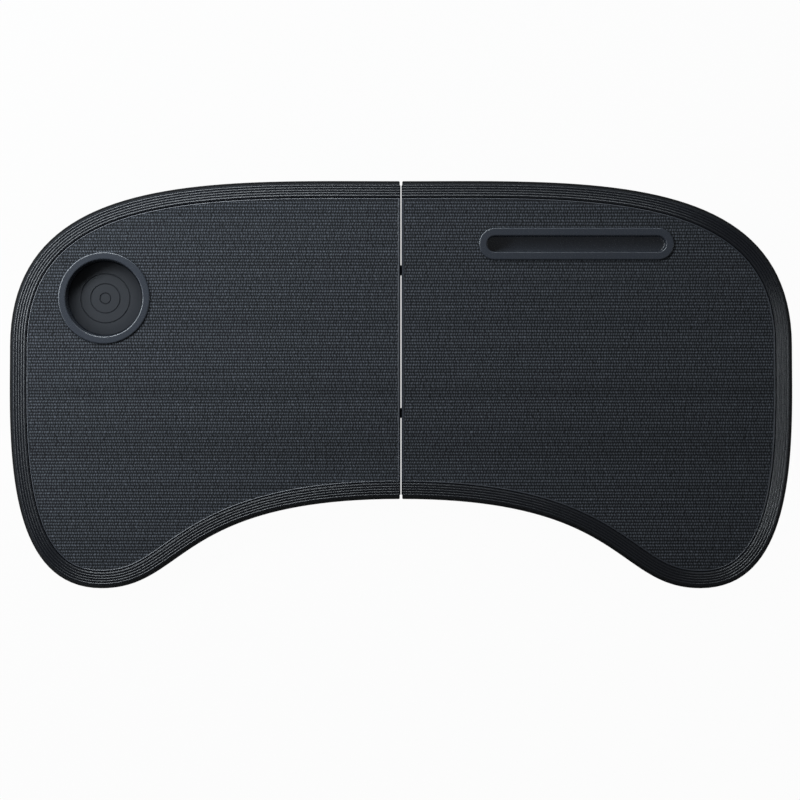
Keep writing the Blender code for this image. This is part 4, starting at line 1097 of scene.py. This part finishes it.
def clamp_frame():
    """The frame that holds the trough from under the deck."""
    inner = TROUGH_R + CLEAR
    outer, low, high = inner + RETAINER_BAND, RETAINER_TOP - CLAMP_FRAME, RETAINER_TOP
    broken = CLAMP_FRAME_BREAK
    section = [
        (inner, low + broken), (inner + broken, low), (outer - broken, low), (outer, low + broken),
        (outer, high), (inner, high),
    ]
    clamp = swept(section, slot_stops())
    node = "slot_retaining_frame"
    add_piece(clamp, "slot_clamp_frame", "right_leaf", "fitting_plastic", [node])


# Hinges


def hinges():
    """The two fold links, and the pins that join them to the leaves."""
    profile = bar_profile(HINGE_PIN_R, -HINGE_PIN_HALF, HINGE_PIN_HALF)
    for place, y in HINGE_YS:
        node = f"hinge_link_{place}"
        add_rounded_node(node, f"{place}_fold_link", "hinge_links", "fitting_plastic", segments=3)
        for hand, side in SIDES:
            pin = laid(turned(profile, SMALL_SIDES), (side * HINGE_X, y, HINGE_Z))
            node = f"hinge_pin_{place}_{hand}"
            add_piece(pin, f"{hand}_{place}_fold_pin", f"{hand}_leaf", "pin_steel", [node])


# Legs


def leg_stops():
    """Section planes along the right leg's tube, from the rear arm round the foot to the front."""
    stops = [stop_at(LEG_X - LEG_START, REAR_ARM_Y, pi, LEG_Z)]
    for end, start in ((1, pi), (-1, 3 * pi / 2)):
        centre = (FOOT_X + LEG_BEND_R, LEG_Y + end * (LEG_HALF_SPAN - LEG_BEND_R))
        for i in range(LEG_BEND_STEPS + 1):
            turn = start + pi / 2 * i / LEG_BEND_STEPS
            along = turn - pi / 2
            x, y = centre[0] + LEG_BEND_R * cos(along), centre[1] + LEG_BEND_R * sin(along)
            stops.append(stop_at(x, y, turn, LEG_Z))
    return stops + [stop_at(LEG_X - LEG_START, FRONT_ARM_Y, 2 * pi, LEG_Z)]


def leg_tube():
    """The right leg's bent tube, open at its ends."""
    outer = circle((0, 0), TUBE_R, TUBE_SIDES)
    inner = circle((0, 0), TUBE_R - TUBE_WALL, TUBE_SIDES)
    stops = leg_stops()
    run_on = Matrix.Translation((TUBE_OVERRUN, 0, 0))
    hollow = swept(inner, [run_on @ stops[0], *stops[1:-1], run_on @ stops[-1]])
    return combined(swept(outer, stops), ("DIFFERENCE", hollow))


def foot_sleeve():
    """The soft sleeve on the right leg's foot bar, with grooves round it."""
    inner, outer, end = TUBE_R + CLEAR, SLEEVE_R - SLEEVE_ROUND, SLEEVE_HALF - SLEEVE_ROUND
    profile = [(inner, -SLEEVE_HALF), *corner_arc((outer, -end), SLEEVE_ROUND, 270, 360)]
    for i in range(-SLEEVE_GROOVES_EACH_WAY, SLEEVE_GROOVES_EACH_WAY + 1):
        centre = i * SLEEVE_GROOVE_PITCH
        profile += [(SLEEVE_R - deep * MM, centre + along * MM) for along, deep in SLEEVE_GROOVE]
    profile += [*corner_arc((outer, end), SLEEVE_ROUND, 0, 90), (inner, SLEEVE_HALF)]
    place = (FOOT_X, middle(*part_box("right_foot_sleeve"))[1], LEG_Z)
    return laid(turned(profile, SLEEVE_SIDES, ring=True), place)


def legs(hand, side):
    """A leg: its tube, its foot sleeve and the two eyes that it swings on."""
    body = f"{hand}_leg"
    tube, node = mirrored(leg_tube(), side), f"{hand}_leg_tube"
    add_piece(tube, f"{hand}_bent_leg", body, "leg_steel", [node], 50)
    sleeve, node = mirrored(foot_sleeve(), side), f"{hand}_foot_sleeve"
    add_piece(sleeve, f"{hand}_grooved_sleeve", body, "foot_rubber", [node])
    for place in ("rear", "front"):
        node = f"{hand}_{place}_knuckle"
        add_rounded_node(node, f"{hand}_{place}_leg_eye", body, "fitting_plastic")


def pivot_pin(place):
    """A pin with a shallow domed head at each end."""
    end = PIN_HALF + PIN_HEAD
    head = [
        (PIN_R, PIN_HALF),
        (PIN_HEAD_R - PIN_HEAD_BREAK, PIN_HALF),
        (PIN_HEAD_R, PIN_HALF + PIN_HEAD_BREAK),
        *[(PIN_HEAD_R - inset * MM, end - under * MM) for inset, under in PIN_HEAD_DOME],
        (0, end),
    ]
    profile = [(radius, -height) for radius, height in reversed(head)] + head
    return laid(turned(profile, SMALL_SIDES), place)


def screw():
    """A round-headed screw with a cross recess, its head downwards, on the vertical axis."""
    low = SCREW_Z - SCREW_HEAD
    (head_in, head_under), (tip_in, tip_under) = SCREW_HEAD_BREAK, SCREW_TIP
    profile = [
        *[(out * MM, low + up * MM) for out, up in SCREW_DOME],
        (SCREW_HEAD_R, SCREW_Z - head_under), (SCREW_HEAD_R - head_in, SCREW_Z),
        (SCREW_R, SCREW_Z), (SCREW_R, SCREW_END - tip_under), (SCREW_R - tip_in, SCREW_END),
        (0, SCREW_END),
    ]
    arms = []
    for half_x, half_y in (SCREW_RECESS, SCREW_RECESS[::-1]):
        corners = ((half_x, half_y), (-half_x, half_y), (-half_x, -half_y), (half_x, -half_y))
        arms.append(lofted([
            [(x * share, y * share, low + up) for x, y in corners]
            for up, share in SCREW_RECESS_LEVELS
        ]))
    return combined(turned(profile, SCREW_SIDES), *[("DIFFERENCE", arm) for arm in arms])


def spring_stops():
    """Section planes up the coil, from its first turn to its last."""
    steps = SPRING_TURNS * SPRING_TURN_STEPS
    stops = []
    for i in range(steps + 1):
        share = i / steps
        height = SPRING_LOW + (SPRING_HIGH - SPRING_LOW) * share
        turn = Matrix.Rotation(2 * pi * SPRING_TURNS * share, 4, "Z")
        stops.append(Matrix.Translation((BUTTON_X, FRONT_ARM_Y, height)) @ turn)
    return stops


def leg_mounts(hand, side):
    """What holds a leg: brackets with their pins, the clip, the lock and the screws."""
    body = f"{hand}_leaf"
    arms = (("rear", "rear_bracket", REAR_ARM_Y), ("front", "front_lock_bracket", FRONT_ARM_Y))
    for place, node, y in arms:
        add_rounded_node(f"{hand}_{node}", f"{hand}_{place}_leg_bracket", body, "fitting_plastic")
        pin, node = pivot_pin((side * LEG_X, y, LEG_Z)), f"{hand}_{place}_pivot_pin"
        add_piece(pin, f"{hand}_{place}_leg_pin", body, "pin_steel", [node])
    add_rounded_node(f"{hand}_leg_clip", f"{hand}_leg_cradle", body, "fitting_plastic", CLIP_ROUND)
    node, button_body = f"{hand}_lock_button", f"{hand}_button"
    add_rounded_node(node, f"{hand}_release_button", button_body, "button_plastic", segments=3)
    wire = circle((SPRING_R, 0), SPRING_WIRE_R, SPRING_WIRE_SIDES)
    coil, node = mirrored(swept(wire, spring_stops()), side), f"{hand}_lock_spring"
    add_piece(coil, f"{hand}_coil_spring", body, "pin_steel", [node], 60)
    for node, place in screw_places():
        shape = screw()
        bmesh.ops.translate(shape, vec=(*place, 0), verts=shape.verts)
        name = f"{hand}_{node.replace('screw', 'cross_screw')}"
        add_piece(mirrored(shape, side), name, body, "pin_steel", [f"{hand}_{node}"])


# Feet and magnets


def feet(hand, side):
    """A leaf's foot pads, each with a dished sole and a stem in its post."""
    profile = [
        *[(out * MM, up * MM) for out, up in PAD_SOLE],
        *corner_arc((PAD_R - PAD_ROUND, PAD_ROUND), PAD_ROUND, 300, 360, 3),
        (PAD_R, PAD_HEAD_TOP - TURNED_BREAK), (PAD_R - TURNED_BREAK, PAD_HEAD_TOP),
        (PAD_STEM_R, PAD_HEAD_TOP), (PAD_STEM_R, PAD_STEM_TOP - PAD_STEM_BREAK),
        (PAD_STEM_R - PAD_STEM_BREAK, PAD_STEM_TOP), (0, PAD_STEM_TOP),
    ]
    for name, place in pad_places():
        pad, node = mirrored(turned(profile, PAD_SIDES, place), side), f"{hand}_{name}_pad"
        add_piece(pad, f"{hand}_{name}_foot", f"{hand}_leaf", "foot_rubber", [node])


def closing_magnet(hand, side):
    """The magnet that keeps the folded leaves shut."""
    profile = bar_profile(MAGNET_R, MAGNET_LOW, MAGNET_HIGH)
    disc = mirrored(turned(profile, PAD_SIDES, magnet_place()), side)
    add_piece(disc, f"{hand}_magnet_disc", f"{hand}_leaf", "magnet_nickel", [f"{hand}_magnet"])


# Assembly


def round_opening(radius):
    """The cup well's outline at a radius, as for the right leaf."""
    return circle((-CUP[0], CUP[1]), radius, WIDE_SIDES)


def long_opening(radius):
    """The slot's outline at a radius."""
    x, y = SLOT
    right = corner_arc((x + SLOT_HALF, y), radius, -90, 90, SLOT_END_STEPS)
    return right + corner_arc((x - SLOT_HALF, y), radius, 90, 270, SLOT_END_STEPS)


def build():
    """Makes every piece: each leaf with its leg and feet, then the inserts and the hinges."""
    gap, rib_gap = 2 * CLEAR, RETAINER_BAND + 3 * CLEAR
    openings = {
        "left": (round_opening(WELL_R + gap), round_opening(WELL_R + rib_gap)),
        "right": (long_opening(TROUGH_R + gap), long_opening(TROUGH_R + rib_gap)),
    }
    for hand, side in SIDES:
        opening, rib_limit = openings[hand]
        edge_band(hand, side)
        shell(hand, side, opening, rib_limit)
        mat(hand, side, opening)
        legs(hand, side)
        leg_mounts(hand, side)
        feet(hand, side)
        closing_magnet(hand, side)
    cup_well()
    cup_pad()
    slot_trough()
    ring_nut()
    clamp_frame()
    hinges()


# Studio


def studio_finish():
    """A floor that is white to the camera, and still takes a soft shadow."""
    material = bpy.data.materials.new("studio_floor")
    material.use_nodes = True
    tree = material.node_tree
    tree.nodes.remove(tree.nodes["Principled BSDF"])
    paths = add(tree, "ShaderNodeLightPath").outputs
    seen = value_of(tree, "MAXIMUM", paths["Is Camera Ray"], paths["Is Transmission Ray"])
    share = value_of(tree, "MULTIPLY", seen, 1 - FLOOR_SHADE)
    paper = (FLOOR_PAPER, FLOOR_PAPER, FLOOR_PAPER, 1)
    matt = add(tree, "ShaderNodeBsdfDiffuse", {"Color": paper}).outputs[0]
    glow = add(tree, "ShaderNodeEmission", {"Color": (1, 1, 1, 1), "Strength": 1.0}).outputs[0]
    mixed = add(tree, "ShaderNodeMixShader", {0: share, 1: matt, 2: glow}).outputs[0]
    tree.links.new(mixed, tree.nodes["Material Output"].inputs["Surface"])
    return material


def studio():
    """A pale floor that curves up into a backdrop all round, soft lamps, a sky and the camera."""
    backdrop = spun(BACKDROP, BACKDROP_SIDES)
    bmesh.ops.remove_doubles(backdrop, verts=backdrop.verts, dist=MERGE)
    bmesh.ops.recalc_face_normals(backdrop, faces=backdrop.faces)
    floor = object_of(backdrop, "studio_floor")
    floor.data.shade_smooth()
    floor.data.materials.append(studio_finish())

    world = bpy.data.worlds.new("studio_sky")
    world.use_nodes = True
    background = world.node_tree.nodes["Background"]
    background.inputs["Color"].default_value = SKY_COLOUR
    background.inputs["Strength"].default_value = SKY_STRENGTH
    bpy.context.scene.world = world

    for name, place, turn, size, power in LAMPS:
        lamp = bpy.data.lights.new(name, "AREA")
        lamp.shape = "RECTANGLE"
        lamp.size, lamp.size_y = size
        lamp.energy = power
        lamp.color = LAMP_COLOUR
        thing = in_scene(name, lamp)
        thing.location = place
        thing.rotation_euler.z = radians(turn)

    camera = bpy.data.cameras.new("camera")
    camera.lens = CAMERA_LENS
    camera.sensor_width = CAMERA_SENSOR
    thing = in_scene("camera", camera)
    thing.location = CAMERA_PLACE
    bpy.context.scene.camera = thing
    bpy.context.scene.view_settings.view_transform = "Standard"


studio()
build()
